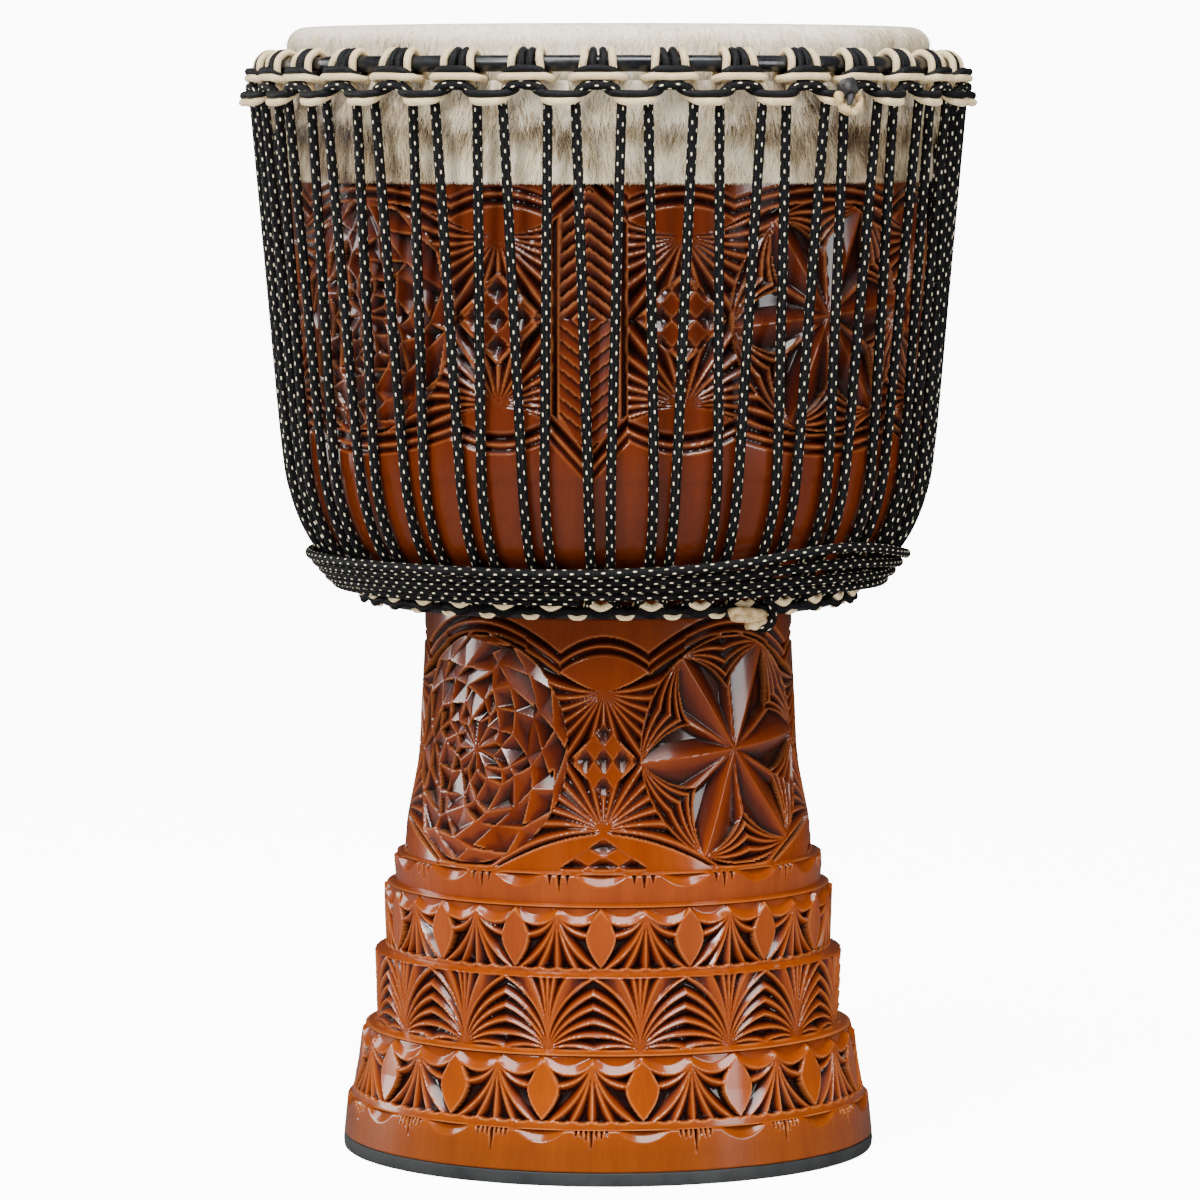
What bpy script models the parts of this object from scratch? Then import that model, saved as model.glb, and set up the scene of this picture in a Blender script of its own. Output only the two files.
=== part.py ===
# Djembe: a carved one-piece hardwood shell with a rope-tensioned goatskin head.
# Frame: millimetre values times mm give metres, +Z up, the drum's axis is Z, its foot stands on Z = 0.
import math

import bpy
import numpy as np

mm = 0.001

# Overall sizes
height = 600.0 * mm  # floor to playing face
bowl_radius = 170.8 * mm  # widest outside radius of the bowl
foot_radius = 142.6 * mm  # outside radius of the foot
# Working sizes
rubber_height = 7.2 * mm  # strip under the foot
skin_thickness = 1.4 * mm  # hide with its hair
crown_bar = 4.3 * mm  # radius of the sleeved crown ring
flesh_bar = 3.2 * mm  # radius of the ring rolled into the skin
bottom_bar = 3.0 * mm  # radius of the ring at the waist
rope_radius = 2.6 * mm  # tension rope
cord_radius = 2.0 * mm  # thinner cords that cradle the rope
hitch_count = 32
waist_turns = 4.4  # turns of spare rope around the bottom of the bowl
collar_height = 81.0 * mm  # from the playing face down to the hair collar's edge
gap = 0.3 * mm  # clearance between neighbouring solids
# Mesh resolution
lathe_steps = 40
rope_sides = 4
first_hitch = math.radians(-1.7)  # angle of one hitch from the front, to the right

rise = (height - rubber_height - gap) / (592.5 * mm)  # height scale above the rubber strip
wide = bowl_radius / (170.8 * mm)  # radius scale of the bowl
base = foot_radius / (142.6 * mm)  # radius scale of the foot
pitch = 2 * math.pi / hitch_count

# Start from an empty scene
for old in list(bpy.data.objects):
    bpy.data.objects.remove(old, do_unlink=True)


def material(name, colour, roughness, coat=0.0):
    made = bpy.data.materials.new(name)
    made.use_nodes = True
    shader = made.node_tree.nodes["Principled BSDF"]
    shader.inputs["Base Color"].default_value = (*colour, 1.0)
    shader.inputs["Roughness"].default_value = roughness
    shader.inputs["Coat Weight"].default_value = coat
    return made


lacquered_wood = material("lacquered_wood", (0.30, 0.085, 0.025), 0.3, 0.5)
hair_hide = material("hair_hide", (0.70, 0.62, 0.50), 0.8)
black_sleeve = material("black_sleeve", (0.02, 0.02, 0.025), 0.3)
plain_iron = material("plain_iron", (0.10, 0.10, 0.10), 0.5)
black_cord = material("black_cord", (0.02, 0.02, 0.022), 0.7)
cream_cord = material("cream_cord", (0.75, 0.66, 0.45), 0.7)
spotted_rope = material("spotted_rope", (0.05, 0.05, 0.05), 0.7)
foot_rubber = material("foot_rubber", (0.06, 0.065, 0.065), 0.8)


def solid(name, points, faces, look):
    mesh = bpy.data.meshes.new(name)
    mesh.from_pydata([tuple(p) for p in points], [], faces)
    mesh.materials.append(look)
    mesh.update()
    made = bpy.data.objects.new(name, mesh)
    bpy.context.scene.collection.objects.link(made)
    return made


def lathe(name, section, look, steps=lathe_steps):
    """Turns a closed (r, z) section, counter-clockwise with r to the right, around Z."""
    count = len(section)
    points = []
    rows = []
    for r, z in section:
        if r < 1e-7:
            rows.append([len(points)] * steps)
            points.append((0.0, 0.0, z))
            continue
        rows.append(list(range(len(points), len(points) + steps)))
        for k in range(steps):
            angle = 2 * math.pi * k / steps
            points.append((r * math.sin(angle), -r * math.cos(angle), z))
    faces = []
    for i in range(count):
        lower = rows[i]
        upper = rows[(i + 1) % count]
        for k in range(steps):
            n = (k + 1) % steps
            ring = [lower[k], lower[n], upper[n], upper[k]]
            face = [v for j, v in enumerate(ring) if v != ring[j - 1]]
            if len(set(face)) > 2:
                faces.append(face)
    return solid(name, points, faces, look)


def polar(angle, r, z):
    return (r * math.sin(angle), -r * math.cos(angle), z)


def cord(name, path, radius, look, closed=True, sides=rope_sides):
    """Sweeps a regular section along a path of points, keeping it flat to the drum's wall."""
    path = np.array(path, float)
    ahead = np.roll(path, -1, axis=0)
    behind = np.roll(path, 1, axis=0)
    if not closed:
        ahead[-1] = path[-1]
        behind[0] = path[0]
    into = path - behind
    out = ahead - path
    into /= np.maximum(np.linalg.norm(into, axis=1, keepdims=True), 1e-12)
    out /= np.maximum(np.linalg.norm(out, axis=1, keepdims=True), 1e-12)
    along = into + out
    along /= np.linalg.norm(along, axis=1, keepdims=True)
    # The first side direction is carried along the path without twist
    side = np.cross(along[0], (0.0, 0.0, 1.0))
    if np.linalg.norm(side) < 0.3:
        side = np.cross(along[0], (path[0][0], path[0][1], 0.0))
    sides_of = []
    for t in along:
        side = side - t * np.dot(side, t)
        side /= np.linalg.norm(side)
        sides_of.append(side.copy())
    sides_of = np.array(sides_of)
    turn = np.zeros(len(path))
    if closed:
        last = sides_of[-1] - along[0] * np.dot(sides_of[-1], along[0])
        last /= np.linalg.norm(last)
        other = np.cross(along[0], sides_of[0])
        error = math.atan2(np.dot(last, other), np.dot(last, sides_of[0]))
        step = 2 * math.pi / sides
        error -= step * round(error / step)
        turn = -error * np.arange(len(path)) / len(path)
    points = []
    for k, centre in enumerate(path):
        up = np.cross(along[k], sides_of[k])
        for j in range(sides):
            a = turn[k] + 2 * math.pi * (j + 0.5) / sides
            points.append(centre + radius * (math.cos(a) * sides_of[k] + math.sin(a) * up))
    faces = []
    total = len(path)
    shift = 0
    if closed:
        # The last ring meets the first one at the nearest corner
        first = np.array(points[:sides])
        final = np.array(points[-sides:])
        best = [np.sum((np.roll(first, -s, axis=0) - final) ** 2) for s in range(sides)]
        shift = int(np.argmin(best))
    for k in range(total if closed else total - 1):
        n = (k + 1) % total
        add = shift if n == 0 else 0
        for j in range(sides):
            m = (j + 1) % sides
            faces.append([
                k * sides + j,
                k * sides + m,
                n * sides + (m + add) % sides,
                n * sides + (j + add) % sides,
            ])
    if not closed:
        faces.append(list(range(sides))[::-1])
        faces.append([(total - 1) * sides + j for j in range(sides)])
    return solid(name, points, faces, look)


# Shell -------------------------------------------------------------------
bottom = rubber_height + gap
rim_round = 8.0 * mm * wide
shell_top = height - skin_thickness - gap
top_radius = 169.3 * mm * wide
rim_centre = (top_radius - rim_round, shell_top - rim_round)

# Foot tiers and pedestal, then the bowl, each as (radius, height) in millimetres
foot_wall = [
    (142.6, 7.5), (140.3, 28.6), (138.1, 29.6), (135.0, 47.0), (132.5, 66.2), (124.8, 68.6),
    (125.8, 107.0), (119.8, 108.8), (120.8, 142.4), (114.2, 144.0), (115.6, 158.6),
]
pedestal_wall = [
    (110.0, 160.3), (108.4, 180.0), (103.2, 201.0), (101.4, 220.0), (100.6, 245.0), (98.6, 258.0),
    (98.4, 288.0),
]
bowl_wall = [
    (113.0, 297.0), (127.0, 303.8), (141.0, 314.0), (155.5, 330.5), (164.8, 352.0), (169.7, 380.0),
    (170.8, 430.0), (169.3, 530.0),
]
bore_wall = [
    (153.0, 560.0), (154.0, 420.0), (147.0, 358.0), (112.0, 310.0), (80.0, 289.0),
    (62.0, 272.0), (63.0, 240.0), (98.0, 110.0), (121.0, 7.5),
]


def grown(r, z):
    """Blends the foot's own radius scale into the bowl's between the tiers and the waist."""
    share = min(max((z - 158.6) / 129.4, 0.0), 1.0)
    return (r * mm * (base * (1 - share) + wide * share), bottom + (z - 7.5) * mm * rise)


outside = [grown(r, z) for r, z in foot_wall + pedestal_wall + bowl_wall]
rim_arc = [
    (rim_centre[0] + rim_round * math.cos(a), rim_centre[1] + rim_round * math.sin(a))
    for a in (0.0, math.radians(30), math.radians(60), math.radians(90))
]
lip = [(top_radius - 13.0 * mm * wide, shell_top - 3.5 * mm)]
inside = [grown(r, z) for r, z in bore_wall]
shell_section = outside + rim_arc + lip + inside
lathe("shell", shell_section, lacquered_wood)

# Rubber strip under the foot
foot_inner = 121.0 * mm * base
lathe(
    "rubber_foot",
    [
        (foot_inner, 0.0), (foot_radius - 0.6 * mm, 0.0), (foot_radius + 0.2 * mm, rubber_height * 0.4),
        (foot_radius, rubber_height), (foot_inner, rubber_height),
    ],
    foot_rubber,
)

# Rings at the head --------------------------------------------------------
hide_half = skin_thickness / 2
flesh_radius = top_radius + 2 * gap + skin_thickness + flesh_bar
fold_inner = flesh_radius + flesh_bar + gap + hide_half  # centre of the layer that turns up
fold_outer = fold_inner + skin_thickness + gap  # centre of the layer that hangs down
reach = crown_bar + gap + cord_radius + 0.15 * mm  # from the crown ring's middle to that of a cord over it
lean = reach * 1.13
neck_radius = top_radius + gap + skin_thickness  # outside of the hide below its rim
crown_radius = neck_radius + 0.5725 * mm + cord_radius + lean
crown_height = height - 14.5 * mm - crown_bar - 1.7 * mm
flesh_height = crown_height - crown_bar - 2 * cord_radius - 2 * gap - flesh_bar - 0.6 * mm


def bar_section(r, z, radius, sides=6):
    return [
        (r + radius * math.cos(a), z + radius * math.sin(a))
        for a in (2 * math.pi * (j + 0.5) / sides for j in range(sides))
    ]


lathe("crown_ring", bar_section(crown_radius, crown_height, crown_bar), black_sleeve)
lathe("flesh_ring", bar_section(flesh_radius, flesh_height, flesh_bar), plain_iron)

# Skin: over the rim, down, under and around the flesh ring, then out and down as the hair collar
lay = gap + hide_half
collar_end = height - collar_height
collar_radius = 169.7 * mm * wide + lay
turn_height = flesh_height - flesh_bar - gap - hide_half
hide_path = [(0.0, shell_top + lay)]
for a in (90, 60, 30, 0):
    hide_path.append((
        rim_centre[0] + (rim_round + lay) * math.cos(math.radians(a)),
        rim_centre[1] + (rim_round + lay) * math.sin(math.radians(a)),
    ))
arc = flesh_bar + gap + hide_half
hide_path += [
    (flesh_radius - arc, flesh_height),
    (flesh_radius - arc * 0.80, flesh_height - arc * 0.80),
    (flesh_radius, turn_height - 0.6 * mm),
    (flesh_radius + arc * 0.80, flesh_height - arc * 0.80),
    (fold_inner, flesh_height),
    (fold_inner, flesh_height + 2.4 * mm),
    ((fold_inner + fold_outer) / 2, flesh_height + 3.5 * mm),
    (fold_outer, flesh_height + 2.4 * mm),
    (fold_outer, turn_height - 3.5 * mm),
    (collar_radius, turn_height - 16.0 * mm),
    (collar_radius, collar_end),
]


def thickened(path, half):
    """A closed section: the path pushed half a thickness to each side, with mitred corners."""
    path = np.array(path)
    left = []
    right = []
    for k, p in enumerate(path):
        a = path[k] - path[k - 1] if k else path[1] - path[0]
        b = path[k + 1] - path[k] if k + 1 < len(path) else path[-1] - path[-2]
        a = a / np.linalg.norm(a)
        b = b / np.linalg.norm(b)
        t = (a + b) / np.linalg.norm(a + b)
        n = np.array([-t[1], t[0]])
        reach = half / max(np.dot(n, (-a[1], a[0])), 0.55)
        left.append(p + n * reach)
        right.append(p - n * reach)
    left[0][0] = right[0][0] = 0.0
    return [tuple(p) for p in right[::-1] + left]


hide_section = thickened(hide_path, hide_half)[::-1]
lathe("goat_skin", hide_section, hair_hide)

# Cords at the head ---------------------------------------------------------
reference = crown_radius + 5.8 * mm  # radius at which the sideways steps are measured
black_step = (cord_radius + 0.4 * mm) / reference
cream_step = (3 * cord_radius + 1.6 * mm) / reference
rope_step = cream_step + (cord_radius + rope_radius - 0.3 * mm) / reference
under_radius = fold_outer + hide_half + gap + cord_radius + 0.2 * mm
hop_radius = under_radius + 0.53 * (crown_radius + lean - under_radius) + cord_radius + gap + rope_radius
hop_height = crown_height - crown_bar - rope_radius - cord_radius * 1.95
bar_height = hop_height - cord_radius - rope_radius - 0.2 * mm
bar_radius = hop_radius - 1.5 * mm + rope_radius + 2 * gap + cord_radius
bar_end = bar_radius + 0.8 * mm
bar_step = 6.0 * mm / reference
cream_drop = 2 * cord_radius + gap


def hitch_half(step, drop):
    """One leg of a hitch: in under the rope, up the front of the crown ring, over it and down behind."""
    leg = [
        (bar_step, bar_end, bar_height - 0.6 * mm - drop),
        (step, under_radius, bar_height - 0.9 * mm - drop * 1.2),
        (step, crown_radius + lean, crown_height - 1.0 * mm),
        (step, crown_radius + 4.6 * mm * lean / (7.2 * mm), crown_height + reach),
        (step, crown_radius - 4.6 * mm * lean / (7.2 * mm), crown_height + reach),
        (step, crown_radius - lean, crown_height - 1.0 * mm),
    ]
    if drop:
        leg.append((step, crown_radius - lean + 0.3 * mm, crown_height - 1.0 * mm - drop - 0.2 * mm))
    else:
        leg[-1] = (0.0, *leg[-1][1:])
    return leg


def cradle(step, drop):
    path = []
    leg = hitch_half(step, drop)
    for i in range(hitch_count):
        middle = first_hitch + i * pitch
        for offset, r, z in leg:
            path.append(polar(middle - offset, r, z))
        back = leg[::-1] if drop else leg[-2::-1]
        for offset, r, z in back:
            path.append(polar(middle + offset, r, z))
    return path


cord("top_cord_black", cradle(black_step, 0.0), cord_radius, black_cord)
cord("top_cord_cream", cradle(cream_step, cream_drop), cord_radius, cream_cord)

# Tension rope -----------------------------------------------------------------


def off_wall(index, distance):
    """A point the given distance outside the bowl wall, square to it."""
    start = len(foot_wall) + len(pedestal_wall) + index
    before = np.array(outside[start - 1])
    here = np.array(outside[start])
    after = np.array(outside[start + 1])
    a = (here - before) / np.linalg.norm(here - before)
    b = (after - here) / np.linalg.norm(after - here)
    t = (a + b) / np.linalg.norm(a + b)
    n = np.array([t[1], -t[0]])
    return here + n * distance / max(np.dot(n, (a[1], -a[0])), 0.6)


bottom_step = math.radians(1.95) / pitch * math.radians(11.25)
rope_lift = rope_radius + gap + 0.2 * mm
line_bottom = off_wall(5, rope_lift)
line_top = np.array([hop_radius - 2.3 * mm, bar_height - cord_radius - 5.0 * mm])
rope_run = [off_wall(k, rope_lift) for k in (4, 3, 2)]
ring_centre = off_wall(0, bottom_bar + gap + 0.3 * mm) + np.array([5.6 * mm * wide, 2.2 * mm * rise])
hop_low = off_wall(1, rope_lift) + np.array([-2.5 * mm, -1.6 * mm])

rope_path = []
for i in range(hitch_count):
    middle = first_hitch + i * pitch
    half = [
        (pitch / 2 - math.radians(1.9), hop_low),
        (bottom_step, rope_run[2]),
        (bottom_step, rope_run[1]),
        (bottom_step, rope_run[0]),
        (bottom_step * 1.05, line_bottom),
        (rope_step, line_top),
        (rope_step - 1.1 * mm / reference, np.array([hop_radius - 1.0 * mm, hop_height - 0.4 * mm])),
        (1.6 * rope_step / 3.65, np.array([hop_radius, hop_height])),
    ]
    for offset, (r, z) in half:
        rope_path.append(polar(middle - offset, r, z))
    for offset, (r, z) in half[::-1]:
        rope_path.append(polar(middle + offset, r, z))
cord("tension_rope", rope_path, rope_radius, spotted_rope)

# Waist: ring, cords and the turns of spare rope -----------------------------------
lathe("bottom_ring", bar_section(ring_centre[0], ring_centre[1], bottom_bar, 5), black_sleeve)

cream_low = hop_low + np.array([0.95, -0.31]) * (rope_radius + gap + cord_radius + 0.9 * mm)
black_low = cream_low + np.array([-0.62, -0.78]) * (2 * cord_radius + 2 * gap)


def scallop(centre, dip):
    path = []
    for i in range(hitch_count):
        middle = first_hitch + (i + 0.5) * pitch
        for share, swing in ((-0.17, 0.0), (0.17, 0.0), (0.5, 1.0)):
            r, z = centre + np.array([1.0, -0.15]) * dip * swing
            path.append(polar(middle + share * pitch, r, z))
    return path


cord("bottom_cord_cream", scallop(cream_low, 2.2 * mm), cord_radius, cream_cord)
cord("bottom_cord_black", scallop(black_low, 1.4 * mm), cord_radius, black_cord)

turn_lift = 3 * rope_radius + 3 * gap + 1.4 * mm
track = [off_wall(k, turn_lift) for k in (4, 3, 2, 1)]
track_lengths = [0.0]
for k in range(1, len(track)):
    track_lengths.append(track_lengths[-1] + float(np.linalg.norm(track[k] - track[k - 1])))
row = 2 * rope_radius + gap
first_turn = 33.0 * mm
turn_path = []
turn_steps = 32
for k in range(int(waist_turns * turn_steps) + 1):
    share = k / turn_steps
    at = first_turn + share * row
    r = float(np.interp(at, track_lengths, [p[0] for p in track]))
    z = float(np.interp(at, track_lengths, [p[1] for p in track]))
    turn_path.append(polar(math.radians(-150) + 2 * math.pi * share, r, z))
cord("waist_rope", turn_path, rope_radius, spotted_rope, closed=False)

# Joined cord ends ------------------------------------------------------------------


def joint(name, angle, r, z, length, thickness, look):
    path = []
    for k in range(5):
        s = (k - 2) / 2
        path.append(polar(angle + s * length / 2 / r, r - 1.2 * mm * s * s, z - 1.0 * mm * s))
    return cord(name, path, thickness, look, closed=False, sides=6)


knot_hitch = first_hitch + 3.5 * pitch
knot_reach = cord_radius + gap + 3.0 * mm
joint(
    "top_cord_joint", knot_hitch, bar_radius + knot_reach + 0.6 * mm, bar_height - cord_radius,
    15 * mm, 3.0 * mm, black_cord,
)
low_knot = cream_low + np.array([0.85, -0.53]) * (cord_radius + 3.2 * mm + 2 * gap + 1.2 * mm)
joint(
    "bottom_cord_joint", first_hitch + 3.1 * pitch, low_knot[0] + 1.2 * mm, low_knot[1] + 0.2 * mm,
    18 * mm, 3.2 * mm, cream_cord,
)
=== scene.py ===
import math

import bpy
import numpy as np
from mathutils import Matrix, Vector


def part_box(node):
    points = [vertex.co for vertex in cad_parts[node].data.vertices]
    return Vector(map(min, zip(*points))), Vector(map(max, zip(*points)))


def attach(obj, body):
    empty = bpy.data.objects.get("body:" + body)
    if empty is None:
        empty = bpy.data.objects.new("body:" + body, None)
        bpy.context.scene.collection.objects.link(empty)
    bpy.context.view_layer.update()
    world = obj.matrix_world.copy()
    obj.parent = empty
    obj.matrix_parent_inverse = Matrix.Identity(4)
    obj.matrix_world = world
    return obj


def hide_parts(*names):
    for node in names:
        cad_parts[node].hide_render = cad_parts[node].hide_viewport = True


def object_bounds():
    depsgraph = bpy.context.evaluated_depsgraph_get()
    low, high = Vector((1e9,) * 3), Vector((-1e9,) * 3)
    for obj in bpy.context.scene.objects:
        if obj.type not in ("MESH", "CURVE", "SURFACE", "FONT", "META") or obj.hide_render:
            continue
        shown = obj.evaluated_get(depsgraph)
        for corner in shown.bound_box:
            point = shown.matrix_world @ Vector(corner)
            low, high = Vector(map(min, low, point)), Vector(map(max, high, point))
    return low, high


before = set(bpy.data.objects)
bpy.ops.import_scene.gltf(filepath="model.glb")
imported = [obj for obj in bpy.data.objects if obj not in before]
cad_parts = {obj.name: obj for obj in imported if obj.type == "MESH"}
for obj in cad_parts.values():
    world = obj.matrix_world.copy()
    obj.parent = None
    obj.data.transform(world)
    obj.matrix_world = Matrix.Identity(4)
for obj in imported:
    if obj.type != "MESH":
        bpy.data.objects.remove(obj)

cadBox = [list(corner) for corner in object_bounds()]
drumHeight = cadBox[1][2]
mm = 0.001
draw = np.random.default_rng(41)
print("frame loaded,", len(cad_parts), "nodes")


# Small helpers for node trees
def newMaterial(name):
    made = bpy.data.materials.new(name)
    made.use_nodes = True
    return made, made.node_tree, made.node_tree.nodes["Principled BSDF"]


def feed(tree, socket, value):
    if isinstance(value, bpy.types.NodeSocket):
        tree.links.new(value, socket)
    else:
        socket.default_value = value


def maths(tree, operation, *values, clamp=False):
    made = tree.nodes.new("ShaderNodeMath")
    made.operation = operation
    made.use_clamp = clamp
    for socket, value in zip(made.inputs, values):
        feed(tree, socket, value)
    return made.outputs[0]


def mixColour(tree, factor, first, second, blend="MIX"):
    made = tree.nodes.new("ShaderNodeMix")
    made.data_type = "RGBA"
    made.blend_type = blend
    feed(tree, made.inputs[0], factor)
    feed(tree, made.inputs[6], first)
    feed(tree, made.inputs[7], second)
    return made.outputs[2]


def spread(tree, value, fromLow, fromHigh, toLow=0.0, toHigh=1.0):
    made = tree.nodes.new("ShaderNodeMapRange")
    for socket, number in zip(made.inputs, (value, fromLow, fromHigh, toLow, toHigh)):
        feed(tree, socket, number)
    return made.outputs[0]


def ramp(tree, factor, stops):
    made = tree.nodes.new("ShaderNodeValToRGB")
    elements = made.color_ramp.elements
    while len(elements) < len(stops):
        elements.new(0.5)
    for element, (place, colour) in zip(elements, stops):
        element.position = place
        element.color = (*colour, 1.0)
    feed(tree, made.inputs[0], factor)
    return made.outputs[0]


def stretched(tree, vector, scale):
    made = tree.nodes.new("ShaderNodeMapping")
    feed(tree, made.inputs["Vector"], vector)
    made.inputs["Scale"].default_value = scale
    return made.outputs[0]


def noise(tree, vector, scale, detail=3.0, roughness=0.5, distortion=0.0):
    made = tree.nodes.new("ShaderNodeTexNoise")
    feed(tree, made.inputs["Vector"], vector)
    feed(tree, made.inputs["Scale"], scale)
    made.inputs["Detail"].default_value = detail
    made.inputs["Roughness"].default_value = roughness
    made.inputs["Distortion"].default_value = distortion
    return made.outputs[0]


def objectSpace(tree):
    return tree.nodes.new("ShaderNodeTexCoord").outputs["Object"]


def mark(tree, name):
    made = tree.nodes.new("ShaderNodeAttribute")
    made.attribute_name = name
    return made.outputs["Fac"]


def laySpace(tree):
    # Around the cord from 0 to 1, and along it in metres
    uv = tree.nodes.new("ShaderNodeUVMap")
    uv.uv_map = "lay"
    parts = tree.nodes.new("ShaderNodeSeparateXYZ")
    tree.links.new(uv.outputs[0], parts.inputs[0])
    return parts.outputs[0], parts.outputs[1]


def bump(tree, shader, height, depth, strength=1.0):
    made = tree.nodes.new("ShaderNodeBump")
    made.inputs["Strength"].default_value = strength
    made.inputs["Distance"].default_value = depth
    feed(tree, made.inputs["Height"], height)
    tree.links.new(made.outputs[0], shader.inputs["Normal"])


def newGroup(name, inputs, outputs):
    group = bpy.data.node_groups.new(name, "ShaderNodeTree")
    for title, kind, value in inputs:
        socket = group.interface.new_socket(title, in_out="INPUT", socket_type="NodeSocket" + kind)
        if value is not None:
            socket.default_value = value
    for title, kind in outputs:
        group.interface.new_socket(title, in_out="OUTPUT", socket_type="NodeSocket" + kind)
    start = group.nodes.new("NodeGroupInput")
    end = group.nodes.new("NodeGroupOutput")
    return group, start.outputs, end.inputs


def useGroup(tree, group, values):
    made = tree.nodes.new("ShaderNodeGroup")
    made.node_tree = group
    for title, value in values.items():
        feed(tree, made.inputs[title], value)
    return made.outputs


# Shared effects
def buildWoodFigure():
    group, given, out = newGroup(
        "Wood figure",
        [("Vector", "Vector", None), ("Grain Scale", "Float", 60.0)],
        [("Figure", "Float"), ("Pores", "Float"), ("Mottle", "Float")],
    )
    along = stretched(group, given["Vector"], (1.0, 1.0, 0.055))
    broad = noise(group, along, given["Grain Scale"], 4.0, 0.55, 0.6)
    fine = noise(group, along, maths(group, "MULTIPLY", given["Grain Scale"], 9.0), 2.0, 0.6)
    figure = maths(group, "ADD", maths(group, "MULTIPLY", broad, 0.72), maths(group, "MULTIPLY", fine, 0.28))
    feed(group, out["Figure"], spread(group, figure, 0.3, 0.7))
    feed(group, out["Pores"], spread(group, fine, 0.42, 0.62))
    feed(group, out["Mottle"], noise(group, given["Vector"], 9.0, 3.0, 0.5))
    return group


def buildCarvedToneAndShade():
    # Plain surface, redder and darker where the knife went in and nearly black in a deep cut: painted shade
    # that deepens with the cut, over the stain that pools there; lighter on each arris, partly wear and partly
    # painted highlight
    group, given, out = newGroup(
        "Carved tone and painted shade",
        [
            ("Plain", "Color", (0.5, 0.2, 0.05, 1.0)), ("Carved", "Color", (0.2, 0.04, 0.01, 1.0)),
            ("Recess Shade", "Color", (0.02, 0.003, 0.002, 1.0)), ("Arris", "Color", (0.8, 0.4, 0.15, 1.0)),
            ("Cut Shade", "Float", 0.0), ("Edge Wear And Highlight", "Float", 0.0),
        ],
        [("Colour", "Color"), ("Roughness", "Float")],
    )
    shallow = spread(group, given["Cut Shade"], 0.02, 0.28)
    deep = maths(group, "POWER", spread(group, given["Cut Shade"], 0.20, 0.90), 0.8)
    tone = mixColour(group, shallow, given["Plain"], given["Carved"])
    # painted shade: nearly black in the deepest cuts
    tone = mixColour(group, maths(group, "MULTIPLY", deep, 0.97, clamp=True), tone, given["Recess Shade"])
    # painted highlight on ridges, together with the wear there
    worn = maths(group, "MULTIPLY", given["Edge Wear And Highlight"], 0.62, clamp=True)
    feed(group, out["Colour"], mixColour(group, worn, tone, given["Arris"]))
    feed(group, out["Roughness"], spread(group, given["Cut Shade"], 0.0, 1.0, 0.30, 0.46))
    return group


def buildBraid():
    # Two sets of strands winding opposite ways, each passing over and under the other
    group, given, out = newGroup(
        "Braid",
        [
            ("Around", "Float", 0.0), ("Along", "Float", 0.0),
            ("Strands", "Float", 8.0), ("Pitch", "Float", 0.0026),
        ],
        [("Height", "Float"), ("Seam", "Float")],
    )
    turns = maths(group, "MULTIPLY", given["Around"], given["Strands"])
    steps = maths(group, "DIVIDE", given["Along"], given["Pitch"])
    left = maths(group, "ADD", turns, steps)
    right = maths(group, "SUBTRACT", turns, steps)

    def hump(value):
        return maths(group, "SINE", maths(group, "MULTIPLY", maths(group, "FRACT", value), math.pi))

    parity = maths(group, "ADD", maths(group, "FLOOR", left), maths(group, "FLOOR", right))
    over = maths(group, "PINGPONG", parity, 1.0)
    humps = maths(group, "ADD",
                  maths(group, "MULTIPLY", hump(left), over),
                  maths(group, "MULTIPLY", hump(right), maths(group, "SUBTRACT", 1.0, over)))
    feed(group, out["Height"], humps)
    # the seam mask is painted shade in the hollows where the strands meet
    feed(group, out["Seam"], spread(group, humps, 0.55, 0.1))
    return group


def buildRopeDots():
    # Light tracer threads: dots in six columns around the rope, staggered by half a step
    group, given, out = newGroup(
        "Tracer dots",
        [
            ("Around", "Float", 0.0), ("Along", "Float", 0.0), ("Columns", "Float", 6.0),
            ("Step", "Float", 0.0080), ("Wide", "Float", 0.170), ("Long", "Float", 0.135),
        ],
        [("Dots", "Float")],
    )
    drift = maths(group, "MULTIPLY", given["Along"], 9.0)
    across = maths(group, "ADD", maths(group, "MULTIPLY", given["Around"], given["Columns"]), drift)
    column = maths(group, "FLOOR", across)
    stagger = maths(group, "MULTIPLY", maths(group, "PINGPONG", column, 1.0), 0.5)
    down = maths(group, "ADD", maths(group, "DIVIDE", given["Along"], given["Step"]), stagger)
    offAcross = maths(group, "SUBTRACT", maths(group, "FRACT", across), 0.5)
    offDown = maths(group, "SUBTRACT", maths(group, "FRACT", down), 0.5)

    def squared(off, size):
        return maths(group, "POWER", maths(group, "ABSOLUTE", maths(group, "DIVIDE", off, size)), 2.0)

    fromDot = maths(group, "ADD", squared(offAcross, given["Wide"]), squared(offDown, given["Long"]))
    feed(group, out["Dots"], spread(group, fromDot, 1.15, 0.7))
    return group


def buildHandling():
    # Uneven dulling and dust that long use leaves
    group, given, out = newGroup(
        "Handling",
        [("Vector", "Vector", None), ("Scale", "Float", 25.0)],
        [("Mask", "Float"), ("Fine", "Float")],
    )
    broad = noise(group, given["Vector"], given["Scale"], 4.0, 0.6)
    feed(group, out["Mask"], spread(group, broad, 0.35, 0.68))
    fineScale = maths(group, "MULTIPLY", given["Scale"], 14.0)
    feed(group, out["Fine"], noise(group, given["Vector"], fineScale, 2.0, 0.6))
    return group


woodFigure = buildWoodFigure()
carvedToneAndShade = buildCarvedToneAndShade()
braid = buildBraid()
ropeDots = buildRopeDots()
handling = buildHandling()


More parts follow.
